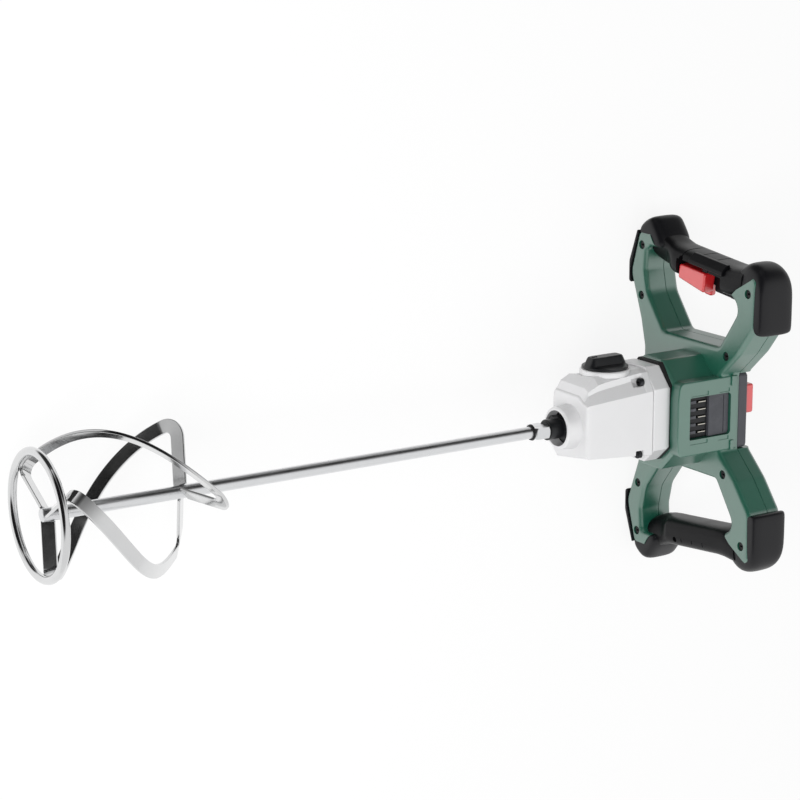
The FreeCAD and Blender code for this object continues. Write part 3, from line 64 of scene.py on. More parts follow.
COLLAR_FRONT = station_of("gear_housing", 0)
SEAM = station_of("gear_housing", 1)
NECK_FRONT = station_of("front_shell", 0)
SPLIT = station_of("front_shell", 1)
SHELL_REAR = station_of("rear_shell", 1)
COVER_REAR = station_of("rear_cover", 1)
LOOP_FRONT = station_of("upper_left_cap", 0) + 1
FLANGE_REAR = NECK_FRONT


# Modelling tools

def only(piece):
    """Select one piece and nothing else."""
    bpy.ops.object.select_all(action="DESELECT")
    piece.select_set(True)
    bpy.context.view_layer.objects.active = piece


def go_to(mode):
    bpy.ops.object.mode_set(mode=mode)


def finish_with(piece, kind, **settings):
    """Add a modifier and apply it."""
    only(piece)
    modifier = piece.modifiers.new(kind.title(), kind)
    for name, value in settings.items():
        setattr(modifier, name, value)
    bpy.ops.object.modifier_apply(modifier=modifier.name)
    return piece


def apply_place(piece):
    only(piece)
    bpy.ops.object.transform_apply(location=True, rotation=True, scale=True)


def clean(piece, gap=0.001):
    """Merge doubled points and turn all faces outwards."""
    only(piece)
    go_to("EDIT")
    bpy.ops.mesh.select_all(action="SELECT")
    bpy.ops.mesh.remove_doubles(threshold=gap)
    bpy.ops.mesh.normals_make_consistent(inside=False)
    go_to("OBJECT")
    return piece


def soften(piece, width, steps=3, angle=30):
    """Bevel the edges that are sharper than an angle."""
    return finish_with(piece, "BEVEL", width=width, segments=steps, limit_method="ANGLE",
                       angle_limit=math.radians(angle), use_clamp_overlap=True)


def unite(piece, *tools):
    return combine(piece, tools, "UNION")


def carve(piece, *tools):
    return combine(piece, tools, "DIFFERENCE")


def combine(piece, tools, how):
    """Join the tools to a piece, or cut them out of it, and throw them away."""
    for tool in tools:
        finish_with(piece, "BOOLEAN", object=tool, operation=how, solver="EXACT")
        bpy.data.objects.remove(tool)
    return piece


def block(name, low, high, edge=0, steps=3):
    """A box between two corners of reach, side and station, with rounded edges."""
    middle = [(a + b) / 2 for a, b in zip(low, high)]
    bpy.ops.mesh.primitive_cube_add(size=1, location=middle)
    piece = bpy.context.object
    piece.name = name
    piece.scale = [b - a for a, b in zip(low, high)]
    apply_place(piece)
    if edge:
        finish_with(piece, "BEVEL", width=edge, segments=steps, limit_method="NONE")
    return piece


def loft(name, rings, closed=False):
    """Skin rings of equally many points: a disc is extruded ring by ring and its points are then put
    in place. The ends are closed, or joined to each other where the rings form a hoop."""
    if closed:
        rings = rings + rings[:1]
    count = len(rings[0])
    bpy.ops.mesh.primitive_circle_add(vertices=count, radius=1, fill_type="NGON", location=(0, 0, 0))
    piece = bpy.context.object
    piece.name = name
    go_to("EDIT")
    bpy.ops.mesh.select_all(action="SELECT")
    for _ in rings[1:]:
        bpy.ops.mesh.extrude_region_move(TRANSFORM_OT_translate={"value": (0, 0, 1)})
    go_to("OBJECT")
    for vertex in piece.data.vertices:
        angle = math.atan2(vertex.co.y, vertex.co.x)
        number = round(angle / math.tau * count) % count
        vertex.co = rings[round(vertex.co.z)][number]
    if closed:
        for face in piece.data.polygons:
            face.select = len(face.vertices) == count
        go_to("EDIT")
        bpy.ops.mesh.delete(type="ONLY_FACE")
        go_to("OBJECT")
    return clean(piece)


def circle(radius, station, count=64, reach=0, side=0):
    return [(reach + radius * math.cos(math.tau * number / count),
             side + radius * math.sin(math.tau * number / count), station) for number in range(count)]


def squared(value, power):
    """A sine or cosine drawn towards a square, for outlines between a circle and a box."""
    return math.copysign(abs(value) ** (2 / power), value)


def turned(name, profile, count=64, closed=False, reach=0, side=0):
    """A turned piece about the shaft's direction, from stations and radii."""
    return loft(name, [circle(radius, place, count, reach, side) for place, radius in profile], closed)


CORNER_SHARE = 0.48


def rounded_spline(curve, corners):
    """A closed spline through corners of across, up and radius, each corner a true arc."""
    spots = [Vector((across, up, 0)) for across, up, _ in corners]
    count = len(spots)
    arcs = []
    for number, (_, _, radius) in enumerate(corners):
        before, spot, after = spots[number - 1], spots[number], spots[(number + 1) % count]
        arrive, leave = (spot - before).normalized(), (after - spot).normalized()
        turn = arrive.angle(leave)
        room = min((spot - before).length, (after - spot).length)
        radius = min(radius, CORNER_SHARE * room / math.tan(turn / 2))
        cut = radius * math.tan(turn / 2)
        grip = 4 / 3 * math.tan(turn / 4) * radius
        arcs.append((spot - arrive * cut, arrive * grip, spot + leave * cut, leave * grip))
    spline = curve.splines.new("BEZIER")
    spline.use_cyclic_u = True
    spline.bezier_points.add(2 * count - 1)
    for number, (first, pull, last, push) in enumerate(arcs):
        before = arcs[number - 1][2]
        after = arcs[(number + 1) % count][0]
        start, end = spline.bezier_points[2 * number], spline.bezier_points[2 * number + 1]
        start.co, start.handle_left, start.handle_right = first, first.lerp(before, 1 / 3), first + pull
        end.co, end.handle_left, end.handle_right = last, last - push, last.lerp(after, 1 / 3)


def plate(name, loops, low, high, edge, steps=4, smooth=8, turn=None):
    """A flat piece with rounded edges between two heights over its outline and its windows."""
    curve = bpy.data.curves.new(name, "CURVE")
    curve.dimensions = "2D"
    curve.fill_mode = "BOTH"
    curve.resolution_u = smooth
    curve.extrude = (high - low) / 2 - edge
    curve.bevel_depth = edge
    curve.bevel_resolution = steps
    curve.offset = -edge
    for loop in loops:
        rounded_spline(curve, loop)
    piece = bpy.data.objects.new(name, curve)
    bpy.context.scene.collection.objects.link(piece)
    piece.location.z = (low + high) / 2
    only(piece)
    bpy.ops.object.convert(target="MESH")
    piece = bpy.context.object
    apply_place(piece)
    if turn:
        piece.matrix_world = turn
        apply_place(piece)
    return clean(piece)


def slice_off(piece, station, keep_front):
    """Cut a piece across the shaft and close the cut."""
    only(piece)
    go_to("EDIT")
    bpy.ops.mesh.select_all(action="SELECT")
    bpy.ops.mesh.bisect(plane_co=(0, 0, station), plane_no=(0, 0, 1), use_fill=True,
                        clear_outer=keep_front, clear_inner=not keep_front)
    go_to("OBJECT")
    return piece


def copy_of(piece, name):
    twin = piece.copy()
    twin.data = piece.data.copy()
    twin.name = name
    bpy.context.scene.collection.objects.link(twin)
    return twin


def mirrored(piece, name):
    """A copy on the other handle."""
    twin = copy_of(piece, name)
    twin.scale.x = -1
    apply_place(twin)
    return clean(twin)


def dress(piece, body, slot, *nodes, angle=30, even=True):
    """Take a finished piece into the frame, shade it and tie it to the part."""
    piece.matrix_world = TO_FRAME
    apply_place(piece)
    bpy.ops.object.shade_smooth_by_angle(angle=math.radians(angle))
    if even:
        finish_with(piece, "WEIGHTED_NORMAL", keep_sharp=True, weight=50)
    piece.data.materials.clear()
    piece.data.materials.append(FINISHES[slot])
    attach(piece, body)
    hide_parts(*nodes)
    return piece


# Finishes

def new_group(name, inputs, outputs):
    group = bpy.data.node_groups.new(name, "ShaderNodeTree")
    for label, value in inputs.items():
        socket = group.interface.new_socket(label, in_out="INPUT", socket_type="NodeSocketFloat")
        socket.default_value = value
    for label in outputs:
        group.interface.new_socket(label, in_out="OUTPUT", socket_type="NodeSocketFloat")
    entry = group.nodes.new("NodeGroupInput")
    leave = group.nodes.new("NodeGroupOutput")
    return group, entry, leave


def add_node(tree, kind, links=None, **settings):
    """A shader node with its settings, its sockets given as values or as other nodes' outputs."""
    node = tree.nodes.new("ShaderNode" + kind)
    for name, value in settings.items():
        setattr(node, name, value)
    for socket, value in (links or {}).items():
        if isinstance(value, bpy.types.NodeSocket):
            tree.links.new(value, node.inputs[socket])
        else:
            node.inputs[socket].default_value = value
    return node


def grain_group():
    """Fine grain of a moulded or cast skin: a height, and a slow mottle."""
    group, entry, leave = new_group("skin_grain", {"Scale": 900, "Stretch": 1, "Mottle Scale": 40},
                                    ["Height", "Mottle"])
    coords = add_node(group, "TexCoord")
    stretch = add_node(group, "CombineXYZ", {"Y": 1, "Z": 1, "X": entry.outputs["Stretch"]})
    mapped = add_node(group, "Mapping", {"Vector": coords.outputs["Object"],
                                         "Scale": stretch.outputs["Vector"]})
    fine = add_node(group, "TexNoise", {"Vector": mapped.outputs["Vector"], "Detail": 3,
                                        "Roughness": 0.6, "Scale": entry.outputs["Scale"]})
    slow = add_node(group, "TexNoise", {"Vector": coords.outputs["Object"], "Detail": 4, "Roughness": 0.55,
                                        "Scale": entry.outputs["Mottle Scale"]})
    group.links.new(fine.outputs["Fac"], leave.inputs["Height"])
    group.links.new(slow.outputs["Fac"], leave.inputs["Mottle"])
    return group


def edge_group():
    """Worn edges: a mask of the convex edges, broken up by scuffs."""
    group, entry, leave = new_group("worn_edges", {"Scuff Scale": 220}, ["Wear"])
    shape = add_node(group, "NewGeometry")
    coords = add_node(group, "TexCoord")
    scuff = add_node(group, "TexNoise", {"Vector": coords.outputs["Object"], "Detail": 5, "Roughness": 0.65,
                                         "Scale": entry.outputs["Scuff Scale"]})
    convex = add_node(group, "MapRange", {"Value": shape.outputs["Pointiness"], "From Min": 0.52,
                                          "From Max": 0.60})
    broken = add_node(group, "MapRange", {"Value": scuff.outputs["Fac"], "From Min": 0.42,
                                          "From Max": 0.62})
    mask = add_node(group, "Math", {0: convex.outputs["Result"], 1: broken.outputs["Result"]},
                    operation="MULTIPLY")
    group.links.new(mask.outputs["Value"], leave.inputs["Wear"])
    return group


GRAIN = grain_group()
EDGES = edge_group()


def linear(*channels):
    """A colour written as eight-bit screen values, as a shader takes it."""
    scaled = [value / 255 for value in channels]
    return tuple(v / 12.92 if v <= 0.04045 else ((v + 0.055) / 1.055) ** 2.4 for v in scaled) + (1,)


def mix_colour(tree, share, first, second):
    node = tree.nodes.new("ShaderNodeMix")
    node.data_type = "RGBA"
    tree.links.new(share, node.inputs["Factor"])
    for socket, value in (("A", first), ("B", second)):
        target = next(item for item in node.inputs if item.name == socket and item.type == "RGBA")
        if isinstance(value, bpy.types.NodeSocket):
            tree.links.new(value, target)
        else:
            target.default_value = value
    return next(item for item in node.outputs if item.type == "RGBA")


def new_finish(name, colour, shade, worn, roughness, spread=0.08, metallic=0, bump=0.1, grain=900,
               stretch=1, mottle=40, scuff=220, depth=0.00005, specular=0.5, index=1.5, wear=0.3):
    """A finish: a base colour that drifts to a shade, worn edges, and a grained skin."""
    finish = bpy.data.materials.new(name)
    finish.use_nodes = True
    tree = finish.node_tree
    shader = tree.nodes["Principled BSDF"]
    skin = add_node(tree, "Group", node_tree=GRAIN)
    skin.inputs["Scale"].default_value = grain
    skin.inputs["Stretch"].default_value = stretch
    skin.inputs["Mottle Scale"].default_value = mottle
    edges = add_node(tree, "Group", node_tree=EDGES)
    edges.inputs["Scuff Scale"].default_value = scuff
    drift = mix_colour(tree, skin.outputs["Mottle"], colour, shade)
    rubbed = add_node(tree, "Math", {0: edges.outputs["Wear"], 1: wear}, operation="MULTIPLY")
    tone = mix_colour(tree, rubbed.outputs["Value"], drift, worn)
    tree.links.new(tone, shader.inputs["Base Color"])
    rough = add_node(tree, "MapRange", {"Value": skin.outputs["Mottle"], "From Min": 0.3,
                                        "From Max": 0.7, "To Min": roughness - spread,
                                        "To Max": roughness + spread})
    tree.links.new(rough.outputs["Result"], shader.inputs["Roughness"])
    relief = add_node(tree, "Bump", {"Height": skin.outputs["Height"], "Strength": bump, "Distance": depth})
    tree.links.new(relief.outputs["Normal"], shader.inputs["Normal"])
    shader.inputs["Metallic"].default_value = metallic
    shader.inputs["Specular IOR Level"].default_value = specular
    shader.inputs["IOR"].default_value = index
    return finish


# Screen colours of base, shade and wear, roughness and what else differs
FINISH_TABLE = {
    "green_plastic": ((16, 88, 69), (15, 85, 66), (46, 110, 92), 0.36,
                      dict(spread=0.01, bump=0.02, grain=1500, specular=1, index=1.95, wear=0.1)),
    "cast_aluminium": ((221, 221, 222), (218, 218, 219), (236, 236, 236), 0.36,
                       dict(spread=0.03, metallic=0.25, bump=0.05, grain=1100)),
    "soft_grip": ((15, 15, 17), (13, 13, 15), (34, 35, 38), 0.36,
                  dict(spread=0.03, bump=0.05, grain=1800, specular=0.16)),
    "cap_rubber": ((18, 18, 21), (16, 16, 19), (38, 39, 44), 0.38,
                   dict(spread=0.03, bump=0.05, grain=1600, specular=0.35)),
    "stirrer_steel": ((224, 224, 224), (212, 213, 214), (238, 238, 238), 0.13,
                      dict(spread=0.03, metallic=1, bump=0.03, grain=700)),
    "shaft_steel": ((228, 229, 230), (222, 223, 225), (238, 238, 238), 0.30,
                    dict(spread=0.03, metallic=1, bump=0.04, grain=900)),
    "gear_steel": ((158, 159, 162), (140, 141, 144), (196, 197, 199), 0.35, dict(metallic=1)),
    "bearing_steel": ((190, 191, 194), (176, 177, 180), (220, 220, 222), 0.25, dict(metallic=1)),
    "screw_steel": ((58, 59, 62), (46, 47, 50), (120, 121, 124), 0.38, dict(metallic=0.9)),
    "core_steel": ((96, 98, 102), (80, 82, 86), (140, 141, 144), 0.45, dict(metallic=0.9)),
    "winding_copper": ((184, 108, 62), (160, 88, 48), (214, 140, 92), 0.35, dict(metallic=1)),
    "contact_metal": ((216, 212, 202), (196, 192, 182), (236, 234, 228), 0.22, dict(metallic=1)),
    "seal_rubber": ((26, 26, 27), (20, 20, 21), (44, 44, 46), 0.6, {}),
    "black_plastic": ((24, 25, 27), (18, 19, 21), (54, 55, 58), 0.36,
                      dict(spread=0.03, bump=0.05, grain=1600, specular=0.4)),
    "grey_plastic": ((70, 71, 76), (62, 63, 68), (100, 101, 106), 0.48, dict(bump=0.25, grain=1500)),
    "red_plastic": ((214, 32, 38), (200, 26, 32), (236, 96, 98), 0.32,
                    dict(spread=0.02, bump=0.03, grain=1500, specular=1, index=1.9)),
}
FINISHES = {name: new_finish(name, linear(*base), linear(*shade), linear(*worn), roughness, **rest)
            for name, (base, shade, worn, roughness, rest) in FINISH_TABLE.items()}

# The solids that stay take the same finishes by the names of their slots
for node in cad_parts.values():
    slots = [slot.name for slot in node.data.materials if slot]
    for number, slot in enumerate(slots):
        finish = FINISHES.get(slot.split(".")[0])
        if finish:
            node.data.materials[number] = finish

# Shells of the two handles

OVERRUN = 5
GRIP_REACH = 140.75
GRIP_TILT = math.radians(6.5)
ON_GRIP = Matrix.Translation((GRIP_REACH, 0, 0)) @ Matrix.Rotation(GRIP_TILT, 4, "Z")


def on_grip(across, along):
    """A point of the upper grip, across and along it, as reach and side."""
    spot = ON_GRIP @ Vector((across, along, 0))
    return spot.x, spot.y


def seat_on_grip(piece):
    """A piece modelled across, along and behind the grip goes to the upper handle."""
    piece.matrix_world = ON_GRIP
    apply_place(piece)
    return piece


def lower(corners):
    """The same corners on the lower handle, in reverse so that an outline goes on."""
    return [(-reach, side, radius) for reach, side, radius in reversed(corners)]


# An outline and a window of the handle plate stay further apart than two of its edges
SHELL_EDGE = 5.5
SEAM_HALF = 0.35
upper_outline = [(48, -79, 12), (76, -86, 40), (123, -103.6, 22), (168, -90, 8), (168, -72, 5),
                 (*on_grip(28, -61), 8), (*on_grip(28, 60), 8), (142, 95, 7), (93, 93.5, 10), (64, 71, 30),
                 (39, 44.6, 8)]
upper_window = [(68, -46, 9), (104, -73.5, 22), (128, -79, 14), (153, -77, 6), (153, -62, 6),
                (*on_grip(-9, 50), 7), (112, 70, 22), (68, 40, 7)]
shell = plate("handle_plate", [upper_outline + lower(upper_outline), list(reversed(upper_window)),
                               list(reversed(lower(upper_window)))],
              LOOP_FRONT, SHELL_REAR, SHELL_EDGE)
# The arms end in slanting cuts, where grip and caps take over
arm_ends = [(30, -82), (19, -76), (5, -64), (-13.5, -60.5), (-13.5, 57), (-3.6, 66), (11.3, 86), (30, 100)]
grip_space = loft("grip_space", [[(across, along, place) for across, along in arm_ends]
                                 for place in (LOOP_FRONT - OVERRUN, SHELL_REAR + OVERRUN)])
seat_on_grip(grip_space)
lower_space = mirrored(grip_space, "lower_space")
carve(shell, grip_space, lower_space)
rear_shell = copy_of(shell, "rear_shell_skin")
slice_off(shell, SPLIT - SEAM_HALF, True)
slice_off(rear_shell, SPLIT + SEAM_HALF, False)
shell.name = "front_shell_skin"


def octagon(station, top, low, half, flat, edge, low_flat, low_edge):
    """An outline with cut corners: its top and low reach, its half width and where its flats end."""
    right = [(-low, low_flat), (-low_edge, half), (edge, half), (top, flat)]
    ring = right + [(reach, -side) for reach, side in reversed(right)]
    return [(reach, side, station) for reach, side in ring]


NECK_LIP = (54.5, 54.5, 33.5, 14, 34.5, 14, 34.5)
NECK_FORM = (56.5, 56.5, 35.5, 15, 36, 15, 36)
NECK_ROOT = (57, 57, 36, 15, 36.4, 15, 36.4)
NECK_EDGE = 1.6
neck = loft("neck", [octagon(NECK_FRONT + 1.5, *NECK_LIP), octagon(NECK_FRONT + 4, *NECK_FORM),
                     octagon(LOOP_FRONT - 9, *NECK_FORM), octagon(LOOP_FRONT + 8, *NECK_ROOT)])
soften(neck, NECK_EDGE, 3, 20)

BAY_FLOOR = side_of("bay_plate", 0)
BAY_FACE = side_of("bay_plate", 1) + 3
PANEL_HALF, PANEL_REAR, PANEL_LOW, PANEL_EDGE = 38, SPLIT - 2, 24, 1.8
PANEL_BOW, BOW_HALF, BOW_RADIUS = 2, 20, 60
panel_outline = [(NECK_FRONT + PANEL_BOW, -PANEL_HALF, 7), (NECK_FRONT, -BOW_HALF, BOW_RADIUS),
                 (NECK_FRONT, BOW_HALF, BOW_RADIUS), (NECK_FRONT + PANEL_BOW, PANEL_HALF, 7),
                 (PANEL_REAR, PANEL_HALF, 1.5), (PANEL_REAR, -PANEL_HALF, 1.5)]
panel = plate("battery_panel", [panel_outline], PANEL_LOW, BAY_FACE, PANEL_EDGE, turn=TURN_TO_BAY)
unite(shell, neck, panel)
RECESS_GAP, RECESS_HALF, RECESS_EDGE, RECESS_CLEAR = 0.3, 21.5, 0.2, 8
RECESS_FRONT = station_of("terminal_block", 0) - RECESS_GAP
RECESS_REAR = station_of("bay_plate", 1) + RECESS_GAP
recess = plate("recess", [[(RECESS_FRONT, -RECESS_HALF, 1.5), (RECESS_FRONT, RECESS_HALF, 1.5),
                           (RECESS_REAR, RECESS_HALF, 4), (RECESS_REAR, -RECESS_HALF, 4)]],
               BAY_FLOOR, BAY_FACE + RECESS_CLEAR, RECESS_EDGE, turn=TURN_TO_BAY)
carve(shell, recess)
STOP_REACH, STOP_HALF, STOP_SUNK, STOP_PROUD, STOP_EDGE = 33, 5, 2, 1.6, 0.7
STOP_FRONT, STOP_REAR = 731.5, 736
for number, reach in enumerate((-STOP_REACH, STOP_REACH), 1):
    stop = block(f"rail_stop_{number}", (reach - STOP_HALF, BAY_FACE - STOP_SUNK, STOP_FRONT),
                 (reach + STOP_HALF, BAY_FACE + STOP_PROUD, STOP_REAR), STOP_EDGE)
    dress(stop, "housing", "green_plastic")
RAIL_MARKS = ((681, 703), (717, 730))
MARK_INNER, MARK_OUTER, MARK_DEPTH = 22.5, 26.5, 0.7
for way in (-1, 1):
    begin_reach, end_reach = sorted((MARK_INNER * way, MARK_OUTER * way))
    for begin, end in RAIL_MARKS:
        carve(shell, block("rail_mark", (begin_reach, BAY_FACE - MARK_DEPTH, begin),
                           (end_reach, BAY_FACE + 3, end)))

SCREW_SPOTS = [(153, -84), (100.5, -83.5), (128, 82.8), (60.6, 52.5)]
SCREW_SPOTS += [(-reach, side) for reach, side in SCREW_SPOTS]
BORE_MOUTH, BORE_RADIUS, BORE_DEPTH = 4.9, 4.5, 12
for reach, side in SCREW_SPOTS:
    carve(shell, turned("bore", [(LOOP_FRONT - 2, BORE_MOUTH), (LOOP_FRONT + 0.4, BORE_RADIUS),
                                 (LOOP_FRONT + BORE_DEPTH, BORE_RADIUS)], 32, reach=reach, side=side))
dress(shell, "housing", "green_plastic", "front_shell")
HEAD_FRONT, HEAD_REAR, HEAD_RADIUS = LOOP_FRONT + 1.4, LOOP_FRONT + 9, 4.45
SOCKET_RADIUS, SOCKET_REAR = 2, LOOP_FRONT + 4.5
screw = turned("shell_screw", [(HEAD_FRONT, 2.4), (HEAD_FRONT, 3.7), (HEAD_FRONT + 0.4, HEAD_RADIUS),
                               (HEAD_REAR, HEAD_RADIUS)], 32)
carve(screw, turned("socket", [(LOOP_FRONT + 1, SOCKET_RADIUS), (SOCKET_REAR, SOCKET_RADIUS)], 6))
for number, (reach, side) in enumerate(SCREW_SPOTS, 1):
    twin = copy_of(screw, f"shell_screw_{number}")
    twin.location = (reach, side, 0)
    apply_place(twin)
    dress(twin, "housing", "seal_rubber", "shell_screws")
bpy.data.objects.remove(screw)
COVER_REACH, COVER_SIDE, COVER_GAP, COVER_SPACE_RIGHT = 39, 45, 0.3, 47
cover_space = block("cover_space", (-COVER_REACH - COVER_GAP, -COVER_SIDE - COVER_GAP, SPLIT - 2),
                    (COVER_REACH + COVER_GAP, COVER_SPACE_RIGHT, SHELL_REAR + OVERRUN))
carve(rear_shell, cover_space)
dress(rear_shell, "housing", "green_plastic", "rear_shell")

# Grips and what moves in them


def grip_form(name, rows, power=3.2, count=64):
    """A rounded bar through rows of along, low, high, front, rear and how far the front slants back."""
    rings = []
    for along, low, high, front, rear, slant in rows:
        ring = []
        for number in range(count):
            turn = math.tau * number / count
            across, behind = squared(math.cos(turn), power), squared(math.sin(turn), power)
            begin = front + slant * (1 - across) / 2
            ring.append(((low + high) / 2 + across * (high - low) / 2, along,
                         (begin + rear) / 2 + behind * (rear - begin) / 2))
        rings.append(ring)
    return loft(name, rings)


GRIP_FRONT = station_of("upper_grip_front", 0)
GRIP_REAR = station_of("upper_grip_rear", 1)
GRIP_LOW, GRIP_HIGH = -16, 13.2
BAR_BEGIN, BAR_END = -36, 40
GROOVES = (-22, -1, 20)
GROOVE_DEPTH, GROOVE_HALF = 0.8, 0.7
GROOVE_STEPS = ((-GROOVE_HALF, 0), (-GROOVE_HALF / 3, GROOVE_DEPTH), (GROOVE_HALF / 3, GROOVE_DEPTH),
                (GROOVE_HALF, 0))
left_root = [(-80, -8, 23, 719.5, 757, 10), (-74, -11, 22, 719.3, 758, 11), (-66, -14, 20, 719.3, 758, 14),
             (-58, -15, 17.5, 719.5, GRIP_REAR, 14), (-50, -15.5, 15, 720.5, GRIP_REAR, 10),
             (-43, GRIP_LOW, 13.6, GRIP_FRONT, GRIP_REAR, 4),
             (BAR_BEGIN, GRIP_LOW, GRIP_HIGH, GRIP_FRONT, GRIP_REAR, 0.5)]
grooved_bar = [(groove + shift, GRIP_LOW + depth, GRIP_HIGH - depth, GRIP_FRONT + depth, GRIP_REAR - depth, 0)
               for groove in GROOVES for shift, depth in GROOVE_STEPS]
right_root = [(BAR_END, GRIP_LOW, 13.4, GRIP_FRONT, GRIP_REAR, 0),
              (52, -15.5, 14.5, GRIP_FRONT - 0.5, GRIP_REAR, 0),
              (64, -12, 16.5, GRIP_FRONT - 1, GRIP_REAR, 0), (72, -4, 17, GRIP_FRONT - 1, GRIP_REAR, 0)]
upper_grip = grip_form("upper_grip", left_root + grooved_bar + right_root)
lower_grip = grip_form("lower_grip", left_root + right_root)
FINGERS = (-12, 5, 22)
FINGER_LOW, FINGER_HIGH, FINGER_HALF, FINGER_DEPTH = 2, 20, 0.5, 1.1
CLEAR_FRONT = 710
for finger in FINGERS:
    carve(lower_grip, block("finger_line", (FINGER_LOW, finger - FINGER_HALF, CLEAR_FRONT),
                            (FINGER_HIGH, finger + FINGER_HALF, GRIP_FRONT + FINGER_DEPTH)))
GRIP_BORE_ACROSS, GRIP_BORE_ALONG, GRIP_BORE_RADIUS, GRIP_BORE_DEPTH = 4.5, -23, 2.9, 9
for grip in (upper_grip, lower_grip):
    carve(grip, turned("grip_bore", [(CLEAR_FRONT, GRIP_BORE_RADIUS),
                                     (GRIP_FRONT + GRIP_BORE_DEPTH, GRIP_BORE_RADIUS)], 32,
                       reach=GRIP_BORE_ACROSS, side=GRIP_BORE_ALONG))
seat_on_grip(lower_grip)
lower_grip.scale.x = -1
apply_place(lower_grip)
clean(lower_grip)

SWITCH_BOX = (-22, 12.3, 735), (-6, 56, SPLIT + 6)
unite(upper_grip, block("switch_box", *SWITCH_BOX, 2.5))
LEDGE_FORM = ((3.6, 724), (3.6, 717.6), (4.6, 716.6), (8, 716.6), (14.6, 723), (14.6, 727), (6, 727))
LEDGE_ENDS = (-8, 44)
ledge = loft("ledge", [[(across, along, place) for across, place in LEDGE_FORM] for along in LEDGE_ENDS])
soften(ledge, 0.8, 3, 40)
# The trigger moves up into the first space; the second clears its end
TRIGGER_SPACE = (-26, -29.4, 715), (3.5, 12.4, 737.9)
END_SPACE = (-26, 10, 715), (0.8, 40, 737.9)
carve(upper_grip, block("trigger_space", *TRIGGER_SPACE), block("end_space", *END_SPACE, 1.5))
unite(upper_grip, ledge)
seat_on_grip(upper_grip)
dress(upper_grip, "housing", "soft_grip", "upper_grip_front", "upper_grip_rear")
dress(lower_grip, "housing", "soft_grip", "lower_grip_front", "lower_grip_rear")
TRIGGER_FRONT, TRIGGER_REAR, TRIGGER_HIGH = station_of("trigger", 0), 737.5, -2.6
TRIGGER_ENDS = ((-29, -17.5), (12, -23))
TRIGGER_EDGE = 2.6
trigger = loft("trigger_key", [[(low, along, TRIGGER_FRONT), (TRIGGER_HIGH, along, TRIGGER_FRONT),
                                (TRIGGER_HIGH, along, TRIGGER_REAR), (low, along, TRIGGER_REAR)]
                               for along, low in TRIGGER_ENDS])
soften(trigger, TRIGGER_EDGE, 5)
seat_on_grip(trigger)
dress(trigger, "trigger", "red_plastic", "trigger")
LOCK = (-30, -7, 739), (-13, 5, 747)
lock = seat_on_grip(block("lock_key", *LOCK, 3, 5))
dress(lock, "lock_button", "red_plastic", "lock_button")

# Corner caps

CAP_FRONT, CAP_REAR = LOOP_FRONT - 1, SHELL_REAR + 1
DOME_FRONT = LOOP_FRONT + 0.8
LEFT_DRAW, RIGHT_DRAW = 0.55, 0.42
left_bulb = [(160, -96), (168, -94), (175.5, -90), (181.5, -84.5), (184, -77), (182.5, -69), (177.5, -65),
             on_grip(18, -58), on_grip(12, -52), on_grip(4, -56), on_grip(4, -64), (160, -74), (163, -84),
             (160, -90)]
left_anchor = Vector((163, -78))
left_strip = [(110.5, -100.5, 1.5), (113, -105, 3), (134, -105, 14), (168, -92.5, 3), (166, -90.5, 2),
              (124, -103.2, 12)]
right_anchor = Vector((98, 89))
UPPER_INNER, LOWER_INNER = 87, 93


def right_bulb(inner):
    """Outline of a right cap from its inner end outwards and back along the arm."""
    return [(inner, 94), (inner, 100), (inner + 2.5, 102.6), (106, 102.6), (120, 102.6), (134, 102.6),
            (144, 100.8), (151.5, 95.5), (156, 88), (158, 80), (157, 71), on_grip(14, 57), on_grip(2, 57),
            on_grip(-6, 64), (133, 80), (118, 88), (100, 90)]


def dome(name, outline, anchor, draw, power=3.4, count=17):
    """A bulb over an outline that draws in towards an anchor at its front and rear."""
    rings = []
    for number in range(count):
        turn = math.pi * (number / (count - 1) - 0.5)
        depth = squared(math.sin(turn), power)
        share = 1 - draw + draw * abs(squared(math.cos(turn), power))
        place = (DOME_FRONT + CAP_REAR) / 2 + depth * (CAP_REAR - DOME_FRONT) / 2
        rings.append([(*(anchor + (Vector(spot) - anchor) * share), place) for spot in outline])
    return loft(name, rings)


left_cap = dome("upper_left_cap_skin", left_bulb, left_anchor, LEFT_DRAW)
right_cap = dome("upper_right_cap_skin", right_bulb(UPPER_INNER), right_anchor, RIGHT_DRAW)
lower_right_mould = dome("lower_right_mould", right_bulb(LOWER_INNER), right_anchor, RIGHT_DRAW)
for cap in (left_cap, right_cap, lower_right_mould):
    finish_with(cap, "SUBSURF", levels=2, subdivision_type="CATMULL_CLARK")
CAP_BORE = 4.6
RIGHT_SCREW_REACH, RIGHT_SCREW_SIDE = SCREW_SPOTS[2]
for cap in (right_cap, lower_right_mould):
    carve(cap, turned("bore", [(LOOP_FRONT - 2, CAP_BORE), (LOOP_FRONT + BORE_DEPTH, CAP_BORE)], 32,
                      reach=RIGHT_SCREW_REACH, side=RIGHT_SCREW_SIDE))
STRIP_INSET, STRIP_EDGE = 1, 1.2
unite(left_cap, plate("left_strip", [left_strip], CAP_FRONT + STRIP_INSET, CAP_REAR - STRIP_INSET,
                      STRIP_EDGE))
lower_left_cap = mirrored(left_cap, "lower_left_cap_skin")
lower_right_cap = mirrored(lower_right_mould, "lower_right_cap_skin")
bpy.data.objects.remove(lower_right_mould)
for cap, node in ((left_cap, "upper_left_cap"), (right_cap, "upper_right_cap"),
                  (lower_left_cap, "lower_left_cap"), (lower_right_cap, "lower_right_cap")):
    dress(cap, "housing", "cap_rubber", node)

# Battery bay

